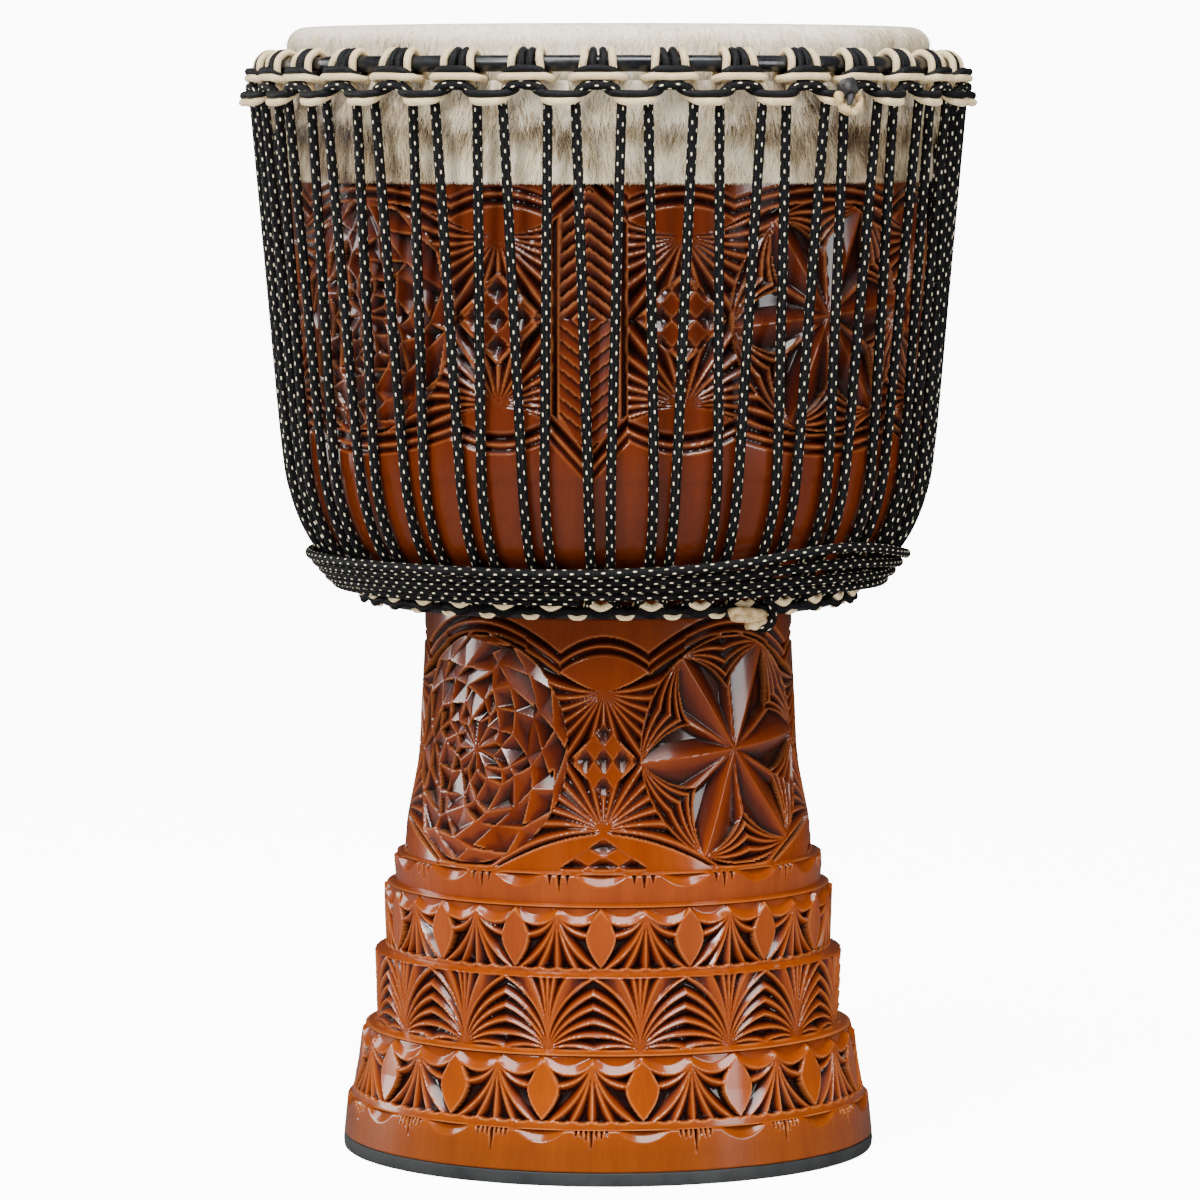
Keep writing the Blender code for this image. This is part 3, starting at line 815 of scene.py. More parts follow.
def pedestalCarving(angle, z):
    # Four panels of fans and diamonds, and four round medallions between them
    local = angle - shell["axis"] - pedestal["turn"]
    warped = local + pedestal["squeeze"] * np.sin(np.radians(2 * local))
    off, index = cellOf(warped, 0.0, 90.0)
    x = np.radians(off) * pedestal["radius"] + 0 * z
    z = z + 0 * x
    ax = np.abs(x)
    edgeTurn = np.radians(45.0) * pedestal["radius"]
    archHalf = pedestal["archHalf"]
    # Upper border: a low arch over each panel and a high one over each medallion
    sweep = np.sin(np.pi / 2 * np.clip((ax - archHalf) / (edgeTurn - archHalf), 0, 1)) ** 0.9
    arch = pedestal["archRise"] * (1 - (ax / archHalf) ** 2)
    rise = np.where(ax < archHalf, arch, pedestal["sweepRise"] * sweep)
    slope = np.where(ax < archHalf, 1.0, np.where(ax < 50, 0.86, 0.98))
    below = (pedestal["arch"] + rise - z) * slope
    border = np.where((below > 0) & (below < 5.2), groove(below - 2.0, 6.0, 3.4), 0.0)
    second = np.where((below >= 5.0) & (below < pedestal["border"]), groove(below - 7.4, 5.4, 3.2), 0.0)
    under = below >= pedestal["border"]
    # Panel: fans from the upper and lower nodes with a lattice of small points between
    top, low, middle = pedestal["topNode"], pedestal["lowNode"], pedestal["middle"]
    upper = fluted(x, top - z, pedestal["ridges"], 0.12, 36, 1.1, 4.8)[0]
    lower = fluted(x, z - low, pedestal["ridges"], 0.12, 36, 1.1, 4.8)[0]
    lensBottom = top + 9.0 * (ax / 26) ** 1.6
    lens = under & (z > lensBottom) & (ax < 30)
    diamond = (ax / pedestal["diamond"][0] + np.abs(z - middle) / pedestal["diamond"][1]) < 1
    lattice = chipDiamonds(x, z - middle, 11.0, 14.4, 3.6)
    panel = np.where(z > middle, upper, lower)
    panel = np.where(diamond, lattice, panel)
    panel = np.where(lens, 0.0, panel)
    brow = low - 1.5 - 9.0 * (ax / 40) ** 1.8
    base = z < brow
    baseRows = (z < 177.5 - ax * 0.66) & (z > 161.0)
    panel = np.where(base, np.where(baseRows, chipDiamonds(x, z - 163.2, 17.0, 9.6, 3.4), 0.0), panel)
    cut = np.where(under, panel, np.maximum(border, second))
    disc, r = medallion(off, index, ax, edgeTurn, z - pedestal["medallion"])
    cut = np.where((r < medallionRadius) & under, disc, cut)
    return cut * np.clip((z - pedestal["foot"]) / 1.5, 0, 1)


bowl = {
    "radius": 170.0, "turn": -1.5,
    "lowBorder": 393.0, "topBorder": 507.0, "columnHalf": 20, "panelEdge": 76, "panelMiddle": 48,
    "topNode": 492.7, "middle": 450.0, "lowNode": 404.9, "nodeSide": 48.4, "medallion": 450.5, "foot": 366.0,
    "ridges": [-125, -100, -90, -81, -72, -63, -53, -42, -30, -15, 0,
               15, 30, 42, 53, 63, 72, 81, 90, 100, 125],
    "wing": 15.5, "featherStep": 7.35, "featherSlope": 0.76, "diamond": (25.0, 24.0),
}


def bowlCarving(angle, z):
    # A feathered column, a panel of fans on each side of it, and medallions between the panels
    off, index = cellOf(angle, shell["axis"] + bowl["turn"], 90.0)
    x = np.radians(off) * bowl["radius"] + 0 * z
    ax = np.abs(x)
    z = z + 0 * x
    edgeTurn = np.radians(45.0) * bowl["radius"]
    half, panelEdge = bowl["columnHalf"], bowl["panelEdge"]
    # Lower border, and the upper one as its mirror image at the collar
    panelSag = -7.5 * (1 - ((ax - bowl["panelMiddle"]) / 28) ** 2)
    discSag = -10.0 * (1 - ((edgeTurn - ax) / (edgeTurn - panelEdge)) ** 2)
    sag = np.where(ax < half, -21.0 * (1 - ax / half), np.where(ax < panelEdge, panelSag, discSag))
    slope = np.where(ax < half, 0.72, 0.97)
    over = (z - (bowl["lowBorder"] + sag)) * slope
    beneath = ((bowl["topBorder"] - sag * 0.9) - z) * slope
    inward = np.minimum(over, beneath)
    cut = np.where((inward > 0) & (inward < 6.6), groove(inward - 3.2, 6.4, 3.6), 0.0)
    cut = np.maximum(cut, np.where((inward < 0) & (inward > -5.0), groove(inward + 2.4, 4.6, 2.2), 0.0))
    inside = inward >= 6.6
    # Feathered column
    wing = bowl["wing"] - np.clip((z - 470) / 60, 0, 1) * 3 - np.clip((402 - z) / 22, 0, 1) * 15
    middle = bowl["middle"]
    risingPhase = ((z - middle + ax * bowl["featherSlope"]) / bowl["featherStep"]) % 1.0
    fallingPhase = ((z - middle - ax * bowl["featherSlope"]) / bowl["featherStep"]) % 1.0
    feather = np.where(z > middle, 2.7 * np.clip(1 - risingPhase * 1.35, 0, 1), 1.5 * fallingPhase)
    feather = np.minimum(feather, (wing - ax) * 3.0)
    # Panels
    px = ax - bowl["nodeSide"]
    top, low = bowl["topNode"], bowl["lowNode"]
    upper = fluted(px, top - z, bowl["ridges"], 0.15, 40, 1.1, 5.0)[0]
    lower = fluted(px, z - low, bowl["ridges"], 0.15, 40, 1.1, 5.0)[0]
    panel = np.where(z > middle, upper, lower)
    diamond = (np.abs(px) / bowl["diamond"][0] + np.abs(z - middle) / bowl["diamond"][1]) < 1
    panel = np.where(diamond, chipDiamonds(px, z - middle, 12.5, 14.5, 3.8), panel)
    lensUp = (z > top + 5.0 * (np.abs(px) / 24) ** 2)
    lensLow = (z < low - 5.0 * (np.abs(px) / 24) ** 2)
    panel = np.where(lensUp | lensLow, 0.0, panel)
    panel = np.where(ax < 20.5, groove(ax - 18.0, 4.6, 3.4), panel)  # a rail beside the column
    cut = np.where(inside, np.where(ax < wing, feather, panel), cut)
    disc, r = medallion(off, index, ax, edgeTurn, z - bowl["medallion"])
    cut = np.where((r < medallionRadius) & (inward > 1.0), disc, cut)
    return cut * np.clip((z - bowl["foot"]) / 3.0, 0, 1)


tiers = {
    "pitch": 22.5,  # one motif's share of the turn, in degrees
    # Each band: lower edge, upper edge, and how far its motif is turned from the carving's middle
    "foot": (7.5, 28.7, 9.5 - 11.25), "lowFans": (29.6, 66.3, 9.5 - 11.25), "arches": (68.6, 107.1, 9.5),
    "highFans": (108.9, 142.5, 11.25), "top": (144.1, 158.8, 11.25),
    "pedestal": (160.4, 291.5), "bowl": (366.0, 521.0),
    # Notches: sideways place, length, width
    "footNotches": [(k * 2.7, 6.5 - abs(k) * 0.7, 2.0) for k in (-3, -2, -1, 1, 2, 3)] + [(0.0, 13.0, 2.8)],
    "topNotches": [(-5.2, 5.6, 3.0), (0.0, 9.3, 3.2), (4.6, 5.4, 3.0)],
}


def carvedDepth(rows, angles):
    depth = np.zeros((len(rows), len(angles)))
    withoutCutShade = np.zeros(depth.shape)  # 1 on smooth scoops and up-facing lips, where the painted shade of the cut is left off so that they keep the plain wood's tone
    z = rows[:, 1]
    # A hand's unevenness, in degrees
    wander = 0.35 * np.sin(np.radians(angles * 3 + 40)) + 0.25 * np.sin(np.radians(angles * 7 + 110))
    angle = angles[None, :] + wander[None, :] * 0.5

    def band(name, cutter):
        low, high = tiers[name][:2]
        inside = np.where((z >= low) & (z <= high))[0]
        r = rows[inside, 0][:, None]
        made = cutter(name, z[inside][:, None], r)
        depth[inside], withoutCutShade[inside] = made if isinstance(made, tuple) else (made, 0.0)

    def motif(name, height, r):
        # Sideways place in the motif, distance below the band's upper edge, and half the motif's width
        _, high, turn = tiers[name]
        off, _ = cellOf(angle, shell["axis"] + turn, tiers["pitch"])
        return np.radians(off) * r, high - height, np.radians(tiers["pitch"] / 2) * r

    def footBand(name, height, r):
        return edgeBites(*motif(name, height, r), tiers["footNotches"], 13.8, 6.2)

    def lowFans(name, height, r):
        x, s, half = motif(name, height, r)
        return fanTier(x, s, 3.6, 33.0, 8.6, (17.6, 15.4), half)

    def arches(name, height, r):
        x, s, _ = motif(name, height, r)
        return archTier(x, s, 38.4)

    def highFans(name, height, r):
        x, s, half = motif(name, height, r)
        return fanTier(x, s, 3.4, 31.6, 7.7, (16.2, 15.3), half)

    def topBand(name, height, r):
        return edgeBites(*motif(name, height, r), tiers["topNotches"], 14.3, 6.4)

    band("foot", footBand)
    band("lowFans", lowFans)
    band("arches", arches)
    band("highFans", highFans)
    band("top", topBand)
    band("pedestal", lambda name, height, r: pedestalCarving(angle, height))
    band("bowl", lambda name, height, r: bowlCarving(angle, height))
    return depth, withoutCutShade


def blurred(field, reach):
    total = field.copy()
    for k in range(1, reach + 1):
        total += np.roll(field, k, axis=1) + np.roll(field, -k, axis=1)
    total /= 2 * reach + 1
    padded = np.pad(total, ((reach, reach), (0, 0)), mode="edge")
    summed = np.cumsum(np.concatenate([np.zeros((1, field.shape[1])), padded]), axis=0)
    return (summed[2 * reach + 1:] - summed[:-(2 * reach + 1)]) / (2 * reach + 1)


def buildShell():
    columns = shell["columns"]
    rows = outlineRows()
    rows = eased(rows, 162.0, 289.0, 300)
    rows = eased(rows, 299.0, 590.0, 30)
    angles = 360.0 * np.arange(columns) / columns
    depth, withoutCutShade = carvedDepth(rows, angles)
    print("carving worked out,", depth.size, "points")
    # Marks for the wood's colour: cut is painted shade that grows with the depth of the cut and in hollows
    # deeper than their surroundings, over the stain that pools in the cuts; edge lightens ridges that stand
    # above their surroundings, partly wear and partly painted highlight
    near = blurred(depth, 2)
    wide = blurred(depth, 7)
    edge = np.clip((near - depth - 0.10) / 0.55, 0, 1)
    cut = np.clip(depth / 4.6, 0, 1) * 0.50 + np.clip((depth - wide) / 1.5, 0, 1) * 0.60
    # the painted shade is left off the smooth scoops and up-facing lips
    cut *= 1 - withoutCutShade
    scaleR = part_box("shell")[1].x / shell["bowlRadius"]
    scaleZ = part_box("shell")[1].z / shell["rimHeight"]
    turn = np.radians(angles)[None, :]
    r = (rows[:, :1] - depth) * scaleR
    z = rows[:, 1:] * scaleZ + 0 * r
    outer = np.stack([r * np.sin(turn), -r * np.cos(turn), z], axis=-1).reshape(-1, 3)
    inner = np.array(shell["inner"]) * (scaleR, scaleZ)
    coarse = columns // 8  # the bore has one column for each eight outside
    slow = 2 * np.pi * np.arange(coarse) / coarse
    bore = np.stack([
        inner[:, :1] * np.sin(slow), -inner[:, :1] * np.cos(slow), inner[:, 1:] + 0 * slow,
    ], axis=-1).reshape(-1, 3)
    first = len(outer)
    last = (len(rows) - 1) * columns
    boreLast = first + (len(inner) - 1) * coarse
    # Where the fine rows meet the coarse ones, each face has nine corners on one side and two on the other
    k = np.arange(coarse)
    fine = (k[:, None] * 8 + np.arange(9)[None, :]) % columns
    nextCoarse = (k + 1) % coarse
    rimFaces = np.concatenate([
        last + fine, (first + nextCoarse)[:, None], (first + k)[:, None],
    ], axis=1)
    footFaces = np.concatenate([
        fine[:, ::-1], (boreLast + k)[:, None], (boreLast + nextCoarse)[:, None],
    ], axis=1)
    points = np.concatenate([outer, bore])
    faceLists = [gridFaces(len(rows), columns), gridFaces(len(inner), coarse, first), rimFaces, footFaces]
    outerMap = gridMap(len(rows), columns) * (1.0, 0.86)
    boreMap = gridMap(len(inner), coarse) * (1.0, 0.1) + (0.0, 0.87)

    def stripMap(low):
        u = np.concatenate([
            (k[:, None] * 8 + np.arange(9)[None, :]) / columns,
            (k[:, None] + 1) / coarse, k[:, None] / coarse,
        ], axis=1)
        v = np.concatenate([np.full((coarse, 9), low), np.full((coarse, 2), low + 0.01)], axis=1)
        return np.stack([u, v], axis=-1)

    footMap = stripMap(0.985)[:, [8, 7, 6, 5, 4, 3, 2, 1, 0, 10, 9]]
    uv = np.concatenate([outerMap, boreMap, stripMap(0.972).reshape(-1, 2), footMap.reshape(-1, 2)])
    # The bore gets an even middling cut value, so the painted cut shade darkens it all over
    plain = np.zeros(len(bore))
    marks = {
        "cut": np.concatenate([cut.ravel(), plain + 0.55]),
        "edge": np.concatenate([edge.ravel(), plain]),
    }
    made = meshPiece("carvedShell", points, faceLists, woodLook, {"OFBake": uv}, marks, 38)
    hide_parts("shell")
    return made


buildShell()
print("shell built")


# Rings and rubber
def ringSize(node, sides):
    # Centre radius, height and bar radius of a ring, from the box of its many-sided frame solid
    low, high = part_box(node)
    corners = [2 * math.pi * (j + 0.5) / sides for j in range(sides)]
    bar = (high.z - low.z) / (max(map(math.sin, corners)) - min(map(math.sin, corners)))
    middle = high.z - bar * max(map(math.sin, corners))
    return high.x - bar * max(map(math.cos, corners)), middle, bar


def ringPiece(name, node, sides, look):
    radius, height, bar = ringSize(node, sides)
    angles = np.arange(0, 360, 2.0)
    made = cordPiece(name, polar(angles, radius, height), bar, look, closed=True, sides=24)
    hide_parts(node)
    return radius, height, bar


crownRadius, crownHeight, crownBar = ringPiece("crownRing", "crown_ring", 6, sleeveLook)
fleshRadius, fleshHeight, fleshBar = ringPiece("fleshRing", "flesh_ring", 6, ironLook)
ringPiece("bottomRing", "bottom_ring", 5, sleeveLook)

footStrip = {"inner": 0.1210, "edge": 0.0011, "bulge": 0.0003}


def buildRubber():
    low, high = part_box("rubber_foot")
    edge = footStrip["edge"]
    outer = high.x - footStrip["bulge"]
    section = [(footStrip["inner"], low.z), (outer - edge, low.z)]
    for k in range(5):
        a = math.radians(-90 + 22.5 * k)
        section.append((outer - edge + edge * math.cos(a), low.z + edge + edge * math.sin(a)))
    section += [(outer + footStrip["bulge"], (low.z + high.z) / 2), (outer, high.z - 0.0006),
                (outer - 0.0006, high.z), (footStrip["inner"], high.z)]

    def uneven(r, z, angles):
        return r + 0.00012 * np.sin(angles * 23) * np.sin(angles * 7 + 1.0), z

    made = turned("rubberFoot", section, rubberLook, 480, 30, uneven)
    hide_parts("rubber_foot")


buildRubber()
print("rings and rubber built")

# Hide
hide = {
    "thickness": 0.0014, "rimRound": 0.0080, "lay": 0.0010, "dip": 0.0004,
    "skirtOut": 0.1804, "skirtFold": 0.5583, "skirtIn": 0.1713,  # metres, from the frame's goat skin
}


def hidePath():
    low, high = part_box("goat_skin")
    half = hide["thickness"] / 2
    top = high.z - half
    rimX = fleshRadius - fleshBar - hide["lay"] - hide["rimRound"] - 0.0008
    reach = hide["rimRound"] + hide["lay"]
    path = []
    for r in np.linspace(0.0005, rimX - 0.002, 40):
        path.append((r, top - hide["dip"] * math.cos(math.pi * r / 0.3) ** 2))
    for k in range(13):
        a = math.radians(90 - 7.5 * k)
        path.append((rimX + reach * math.cos(a), top - reach + reach * math.sin(a)))
    arc = fleshBar + 0.0003 + half
    inner = fleshRadius - arc
    for z in np.linspace(top - reach - 0.003, fleshHeight, 6):
        path.append((min(rimX + reach, inner), z))
    for k in range(1, 12):
        a = math.radians(180 + 15 * k)
        path.append((fleshRadius + arc * math.cos(a), fleshHeight + arc * math.sin(a)))
    fold = (fleshRadius + arc + hide["skirtOut"]) / 2
    reachFold = hide["skirtOut"] - fold
    for k in range(7):
        a = math.radians(180 - 30 * k)
        path.append((fold + reachFold * math.cos(a), fleshHeight + 0.0028 + reachFold * math.sin(a)))
    for share in np.linspace(0.15, 1, 6):
        path.append((hide["skirtOut"], fleshHeight + (hide["skirtFold"] - fleshHeight) * share))
    for share in np.linspace(0.1, 1, 10):
        ease = share * share * (3 - 2 * share)
        path.append((hide["skirtOut"] + (hide["skirtIn"] - hide["skirtOut"]) * ease,
                     hide["skirtFold"] - 0.0125 * share))
    for z in np.linspace(hide["skirtFold"] - 0.0145, low.z, 14):
        path.append((hide["skirtIn"], z))
    return np.array(path)


def thickened(path, half):
    ahead = np.gradient(path, axis=0)
    ahead /= np.maximum(np.linalg.norm(ahead, axis=1, keepdims=True), 1e-9)
    across = np.stack([-ahead[:, 1], ahead[:, 0]], axis=1) * half
    return np.concatenate([path - across, (path + across)[::-1]])


def buildHide():
    path = hidePath()
    section = thickened(path, hide["thickness"] / 2)
    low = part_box("goat_skin")[0].z

    def ragged(r, z, angles):
        nearEdge = np.clip(1 - (z - low) / 0.012, 0, 1) * (r > 0.16)
        ripple = 0.0004 * np.sin(angles * 9 + 2 * np.sin(angles * 5)) + 0.00015 * np.sin(angles * 53)
        crumple = np.clip(1 - np.abs(z - hide["skirtFold"] + 0.004) / 0.012, 0, 1) * (r > 0.17)
        puff = 0.0007 * np.sin(angles * 37 + np.sin(angles * 9)) * crumple
        return r + puff, z + (ripple + 0.0004) * nearEdge

    made = turned("goatHide", section, hideLook, 720, 50, ragged)
    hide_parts("goat_skin")
    return path


hideLine = buildHide()

hairCoats = {
    "seed": 17,
    # Heights, lengths and widths in metres; lift is a share of the length
    "skirt": {"low": 0.5192, "high": 0.5500, "count": 34000,
              "length": 0.0125, "width": 0.00030, "lift": 0.13},
    "crease": {"low": 0.5480, "high": 0.5600, "count": 11000,
               "length": 0.0090, "width": 0.00030, "lift": 0.34},
    "fold": {"low": 0.5580, "high": 0.5715, "count": 9000,
             "length": 0.0080, "width": 0.00030, "lift": 0.30},
    "shoulder": {"count": 16000, "length": 0.0070, "width": 0.00028, "lift": 0.09},
    "face": {"count": 26000, "length": 0.0060, "width": 0.00030, "lift": 0.06},
    "edge": 0.5184,  # no hair hangs below this height
}


def patchTone(degrees, z, picks):
    # Broad patches of brown and grey in a mostly cream coat, with single dark hairs, painted shade in the
    # collar's crease and painted light towards the playing face
    turn = np.radians(degrees)
    place = (degrees + 180) % 360 - 180
    patch = 0.11 * np.sin(turn * 3 + 2.2) + 0.10 * np.sin(turn * 7 - 1.0 + z * 70)
    patch += 0.12 * np.sin(turn * 19 + z * 210) + 0.09 * np.sin(turn * 41 - z * 330 + 1.3)
    patch -= 0.22 * np.exp(-((z - 0.5475) / 0.0035) ** 2)  # painted shade: the coat is darker in the collar's crease
    brown = 0.24 * np.exp(-((place + 47) / 24) ** 2) + 0.14 * np.exp(-((place - 62) / 20) ** 2)
    paintedTopLight = 0.16 * np.clip((z - 0.575) / 0.012, 0, 1)  # painted light: paler towards the playing face on top of the drum, where the light falls
    tone = 0.74 + patch - brown + paintedTopLight + picks.normal(0, 0.12, len(degrees))
    dark = picks.random(len(degrees)) < 0.13
    return np.clip(np.where(dark, tone - 0.42, tone), 0, 1)


backWay = (0.34, 0.94, 0.0)  # the way the animal's back ran across the playing face


def backTone(x, y, picks):
    # Cream over the playing face, with soft patches and a brown band where the animal's back was
    patch = 0.06 * np.sin(x * 47 + 1.1 * np.sin(y * 31)) + 0.05 * np.sin(y * 38 - x * 22 + 0.7)
    fromBack = x * backWay[1] - y * backWay[0]
    band = 0.20 * np.exp(-((fromBack + 0.008 * np.sin(y * 40)) / 0.019) ** 2)
    tone = 0.86 + patch - band + picks.normal(0, 0.10, len(x))
    dark = picks.random(len(x)) < 0.08
    return np.clip(np.where(dark, tone - 0.38, tone), 0, 1)


def hairPiece(name, roots, lie, out, size, tone, picks, room=None):
    # Flat tapering hairs that leave the hide at a low angle and droop back towards it
    count = len(roots)
    side = np.cross(lie, out)
    side /= np.linalg.norm(side, axis=1, keepdims=True)
    length = size["length"] * picks.uniform(0.6, 1.25, (count, 1))
    if room is not None:
        length = np.minimum(length, np.maximum(room[:, None], 0.0004))
    veer = picks.normal(0, 0.20, (count, 1))
    kink = picks.normal(0, 0.10, (count, 1))
    lift = size["lift"] * picks.uniform(0.3, 1.6, (count, 1))
    width = size["width"] * picks.uniform(0.7, 1.3, (count, 1))
    levels = []
    for s in (0.0, 0.35, 0.7, 1.0):
        middle = (roots + lie * length * (s - 0.06 * s * s) + side * length * (veer * s + kink * s * s)
                  + out * length * lift * (1.35 * s - 0.75 * s * s))
        half = width * 0.5 * (1 - 0.85 * s ** 1.5)
        levels.append(np.stack([middle - side * half, middle + side * half], axis=1))
    points = np.stack(levels, axis=1).reshape(-1, 3)
    base = (np.arange(count) * 8)[:, None, None]
    quad = np.array([[0, 1, 3, 2], [2, 3, 5, 4], [4, 5, 7, 6]])[None]
    faces = (base + quad).reshape(-1, 4)
    shade = np.repeat(tone, 8).reshape(count, 8)
    shade = np.clip(shade + np.array([-0.10, -0.10, -0.02, -0.02, 0.03, 0.03, 0.06, 0.06]), 0, 1)
    # Each hair has its own narrow strip of the unwrapped square
    across = int(math.ceil(math.sqrt(count)))
    u0 = (np.arange(count) % across)[:, None] / across
    v0 = (np.arange(count) // across)[:, None] / across
    corner = np.array([(0, 0), (1, 0), (1, 1), (0, 1)], float)
    u = np.stack([u0 + corner[:, 0] / across * 0.9 for _ in range(3)], axis=1)
    v = np.stack([v0 + (corner[:, 1] + level) / 3 / across * 0.9 for level in range(3)], axis=1)
    uv = np.stack([u, v], axis=-1).reshape(-1, 2)
    made = meshPiece(name, points, [faces], hairLook, {"OFBake": uv}, {"tone": shade.ravel()})
    return made


def hairOnWall(name, size, picks):
    # Hair hanging down the outside of the hide between two heights
    count = size["count"]
    degrees = picks.uniform(0, 360, count)
    z = picks.uniform(size["low"], size["high"], count)
    outside = hideLine[hideLine[:, 0] > hide["skirtIn"] - 0.0001]
    skirt = outside[np.argmax(outside[:, 0]):]
    order = np.argsort(skirt[:, 1])
    r = np.interp(z, skirt[order, 1], skirt[order, 0]) + hide["thickness"] / 2
    roots = polar(degrees, r, z)
    out = polar(degrees, 1.0, 0.0)
    down = np.zeros_like(out)
    down[:, 2] = -1.0
    lean = picks.normal(0.0, 0.16, (count, 1)) + 0.22 * np.sin(np.radians(degrees * 9) + z * 90)[:, None]
    sideways = np.cross(down, out)
    lie = down + sideways * lean
    lie /= np.linalg.norm(lie, axis=1, keepdims=True)
    room = (z - hairCoats["edge"] + picks.normal(0, 0.00025, count)) * 1.05
    return hairPiece(name, roots, lie, out, size, patchTone(degrees, z, picks), picks, room)


def hairOnHead(name, size, picks, inner, outer):
    # Hair on the playing face and over its round shoulder
    count = size["count"]
    path = hideLine[hideLine[:, 0] > 0.0]
    top = path[: np.argmax(path[:, 1] < fleshHeight + fleshBar)]
    steps = np.concatenate([[0], np.cumsum(np.linalg.norm(np.diff(top, axis=0), axis=1))])
    at = np.sqrt(picks.uniform(inner ** 2, outer ** 2, count)) * steps[-1]
    r = np.interp(at, steps, top[:, 0])
    z = np.interp(at, steps, top[:, 1])
    further = at + 0.001
    ahead = np.stack([np.interp(further, steps, top[:, 0]), np.interp(further, steps, top[:, 1])], 1)
    ahead = np.where((further < steps[-1])[:, None], ahead - np.stack([r, z], 1), np.array([[0.0, -0.001]]))
    ahead /= np.maximum(np.linalg.norm(ahead, axis=1, keepdims=True), 1e-9)
    degrees = picks.uniform(0, 360, count)
    out = polar(degrees, -ahead[:, 1], ahead[:, 0])
    lie = polar(degrees, ahead[:, 0], ahead[:, 1])
    roots = polar(degrees, r, z) + out * hide["thickness"] / 2
    # The coat runs one way along the animal's back, and turns outwards only near the rim
    nearRim = np.clip((at / steps[-1] - 0.62) / 0.3, 0, 1)[:, None]
    lie = lie * nearRim + np.array(backWay) * (1 - nearRim)
    sideways = np.cross(lie, out)
    lie = lie + sideways * (picks.normal(0.0, 0.25, (count, 1)) + 0.3 * np.sin(roots[:, :1] * 41))
    lie /= np.maximum(np.linalg.norm(lie, axis=1, keepdims=True), 1e-6)
    # a little lighter on the shoulder: painted light
    litRimTone = patchTone(degrees, z, picks) + 0.03
    tone = litRimTone * nearRim[:, 0] + backTone(roots[:, 0], roots[:, 1], picks) * (1 - nearRim[:, 0])
    return hairPiece(name, roots, lie, out, size, tone, picks)


def buildHair():
    picks = np.random.default_rng(hairCoats["seed"])
    hairOnWall("skirtHair", hairCoats["skirt"], picks)
    hairOnWall("creaseHair", hairCoats["crease"], picks)
    hairOnWall("foldHair", hairCoats["fold"], picks)
    hairOnHead("shoulderHair", hairCoats["shoulder"], picks, 0.86, 1.0)
    hairOnHead("faceHair", hairCoats["face"], picks, 0.0, 0.88)


buildHair()
print("hide and hair built")

# Lacing
lacing = {
    "hitches": 32, "first": -1.7,  # degrees
    "cord": 0.0020, "rope": 0.0026,
    "reference": 0.187,  # radius at which sideways steps are measured
    # Half of one hitch from the lower bar to the front bar: (sideways, out from the crown ring, up), in mm
    "black": [
        (-18.36, 13.3, -15.6), (-12.0, 12.8, -15.3), (-7.0, 9.6, -14.4), (-4.0, 6.1, -12.0), (-2.5, 5.8, -8.5),
        (-2.4, 6.5, -3.0), (-2.4, 5.2, 3.2), (-2.4, 0.0, 6.5), (-2.4, -5.2, 3.2), (-3.4, -6.3, -2.0),
        (-6.0, -3.7, -6.6), (-8.8, 2.3, -6.8), (-9.4, 8.0, -5.0), (-6.6, 10.6, -3.1), (0.0, 11.1, -2.9),
    ],
    "cream": [
        (-18.36, 13.8, -19.3), (-13.0, 13.2, -19.1), (-9.8, 9.8, -17.5), (-8.6, 6.3, -14.0), (-8.0, 5.9, -8.5),
        (-7.7, 6.6, -2.5), (-7.2, 5.3, 3.4), (-6.9, 0.0, 6.6), (-7.0, -5.4, 3.2), (-8.2, -6.3, -2.4),
        (-10.6, -3.6, -7.0), (-12.8, 2.8, -8.0), (-12.3, 8.4, -7.2), (-8.6, 10.7, -6.4), (0.0, 11.2, -6.3),
    ],
    # Half of one rope lap from the low hop to the high one: (degrees from the hitch, radius, height)
    "lap": [
        (5.625, 124.2, 297.9), (4.0, 125.3, 298.9), (2.7, 131.0, 302.6), (1.95, 143.1, 311.7),
        (1.95, 158.1, 328.9), (1.95, 167.8, 351.1), (2.1, 172.8, 379.6), (2.85, 180.6, 468.0),
        (3.55, 188.0, 552.0), (3.65, 188.8, 559.0), (3.35, 189.4, 563.3), (2.5, 190.7, 566.9),
        (1.25, 191.3, 568.3), (0.0, 191.4, 568.6),
    ],
}


def hitchAngle(index):
    return lacing["first"] + index * 360.0 / lacing["hitches"]


def headCord(name, half, node, look, picks):
    path = []
    perDegree = 1 / math.radians(1) / lacing["reference"] * mm
    for i in range(lacing["hitches"]):
        middle = hitchAngle(i)
        for side in (-1, 1):
            steps = half if side < 0 else half[-2:0:-1]
            for sideways, out, up in steps:
                shift = picks.normal(0, 0.28) * (0.0 if abs(sideways) > 18 else 1.0)
                turn = middle + (shift - side * sideways) * perDegree
                rise = up + picks.normal(0, 0.12)
                path.append(polar(turn, crownRadius + out * mm, crownHeight + rise * mm))
    made = cordPiece(name, path, lacing["cord"], look, closed=True, sides=12, spacing=1.1 * mm)
    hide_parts(node)


def buildTensionRope(picks):
    path = []
    lap = lacing["lap"]
    for i in range(lacing["hitches"]):
        middle = hitchAngle(i)
        sway = picks.normal(0, 0.10, 2)
        for k, (offset, r, z) in enumerate(lap):
            wander = sway[0] * math.sin(math.pi * k / (len(lap) - 1))
            path.append(polar(middle - offset + wander, r * mm, z * mm))
        for k, (offset, r, z) in list(enumerate(lap))[-2:0:-1]:
            wander = sway[1] * math.sin(math.pi * k / (len(lap) - 1))
            path.append(polar(middle + offset + wander, r * mm, z * mm))
    made = cordPiece("tensionRope", path, lacing["rope"], ropeLook, closed=True, sides=12, spacing=1.4 * mm)
    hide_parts("tension_rope")


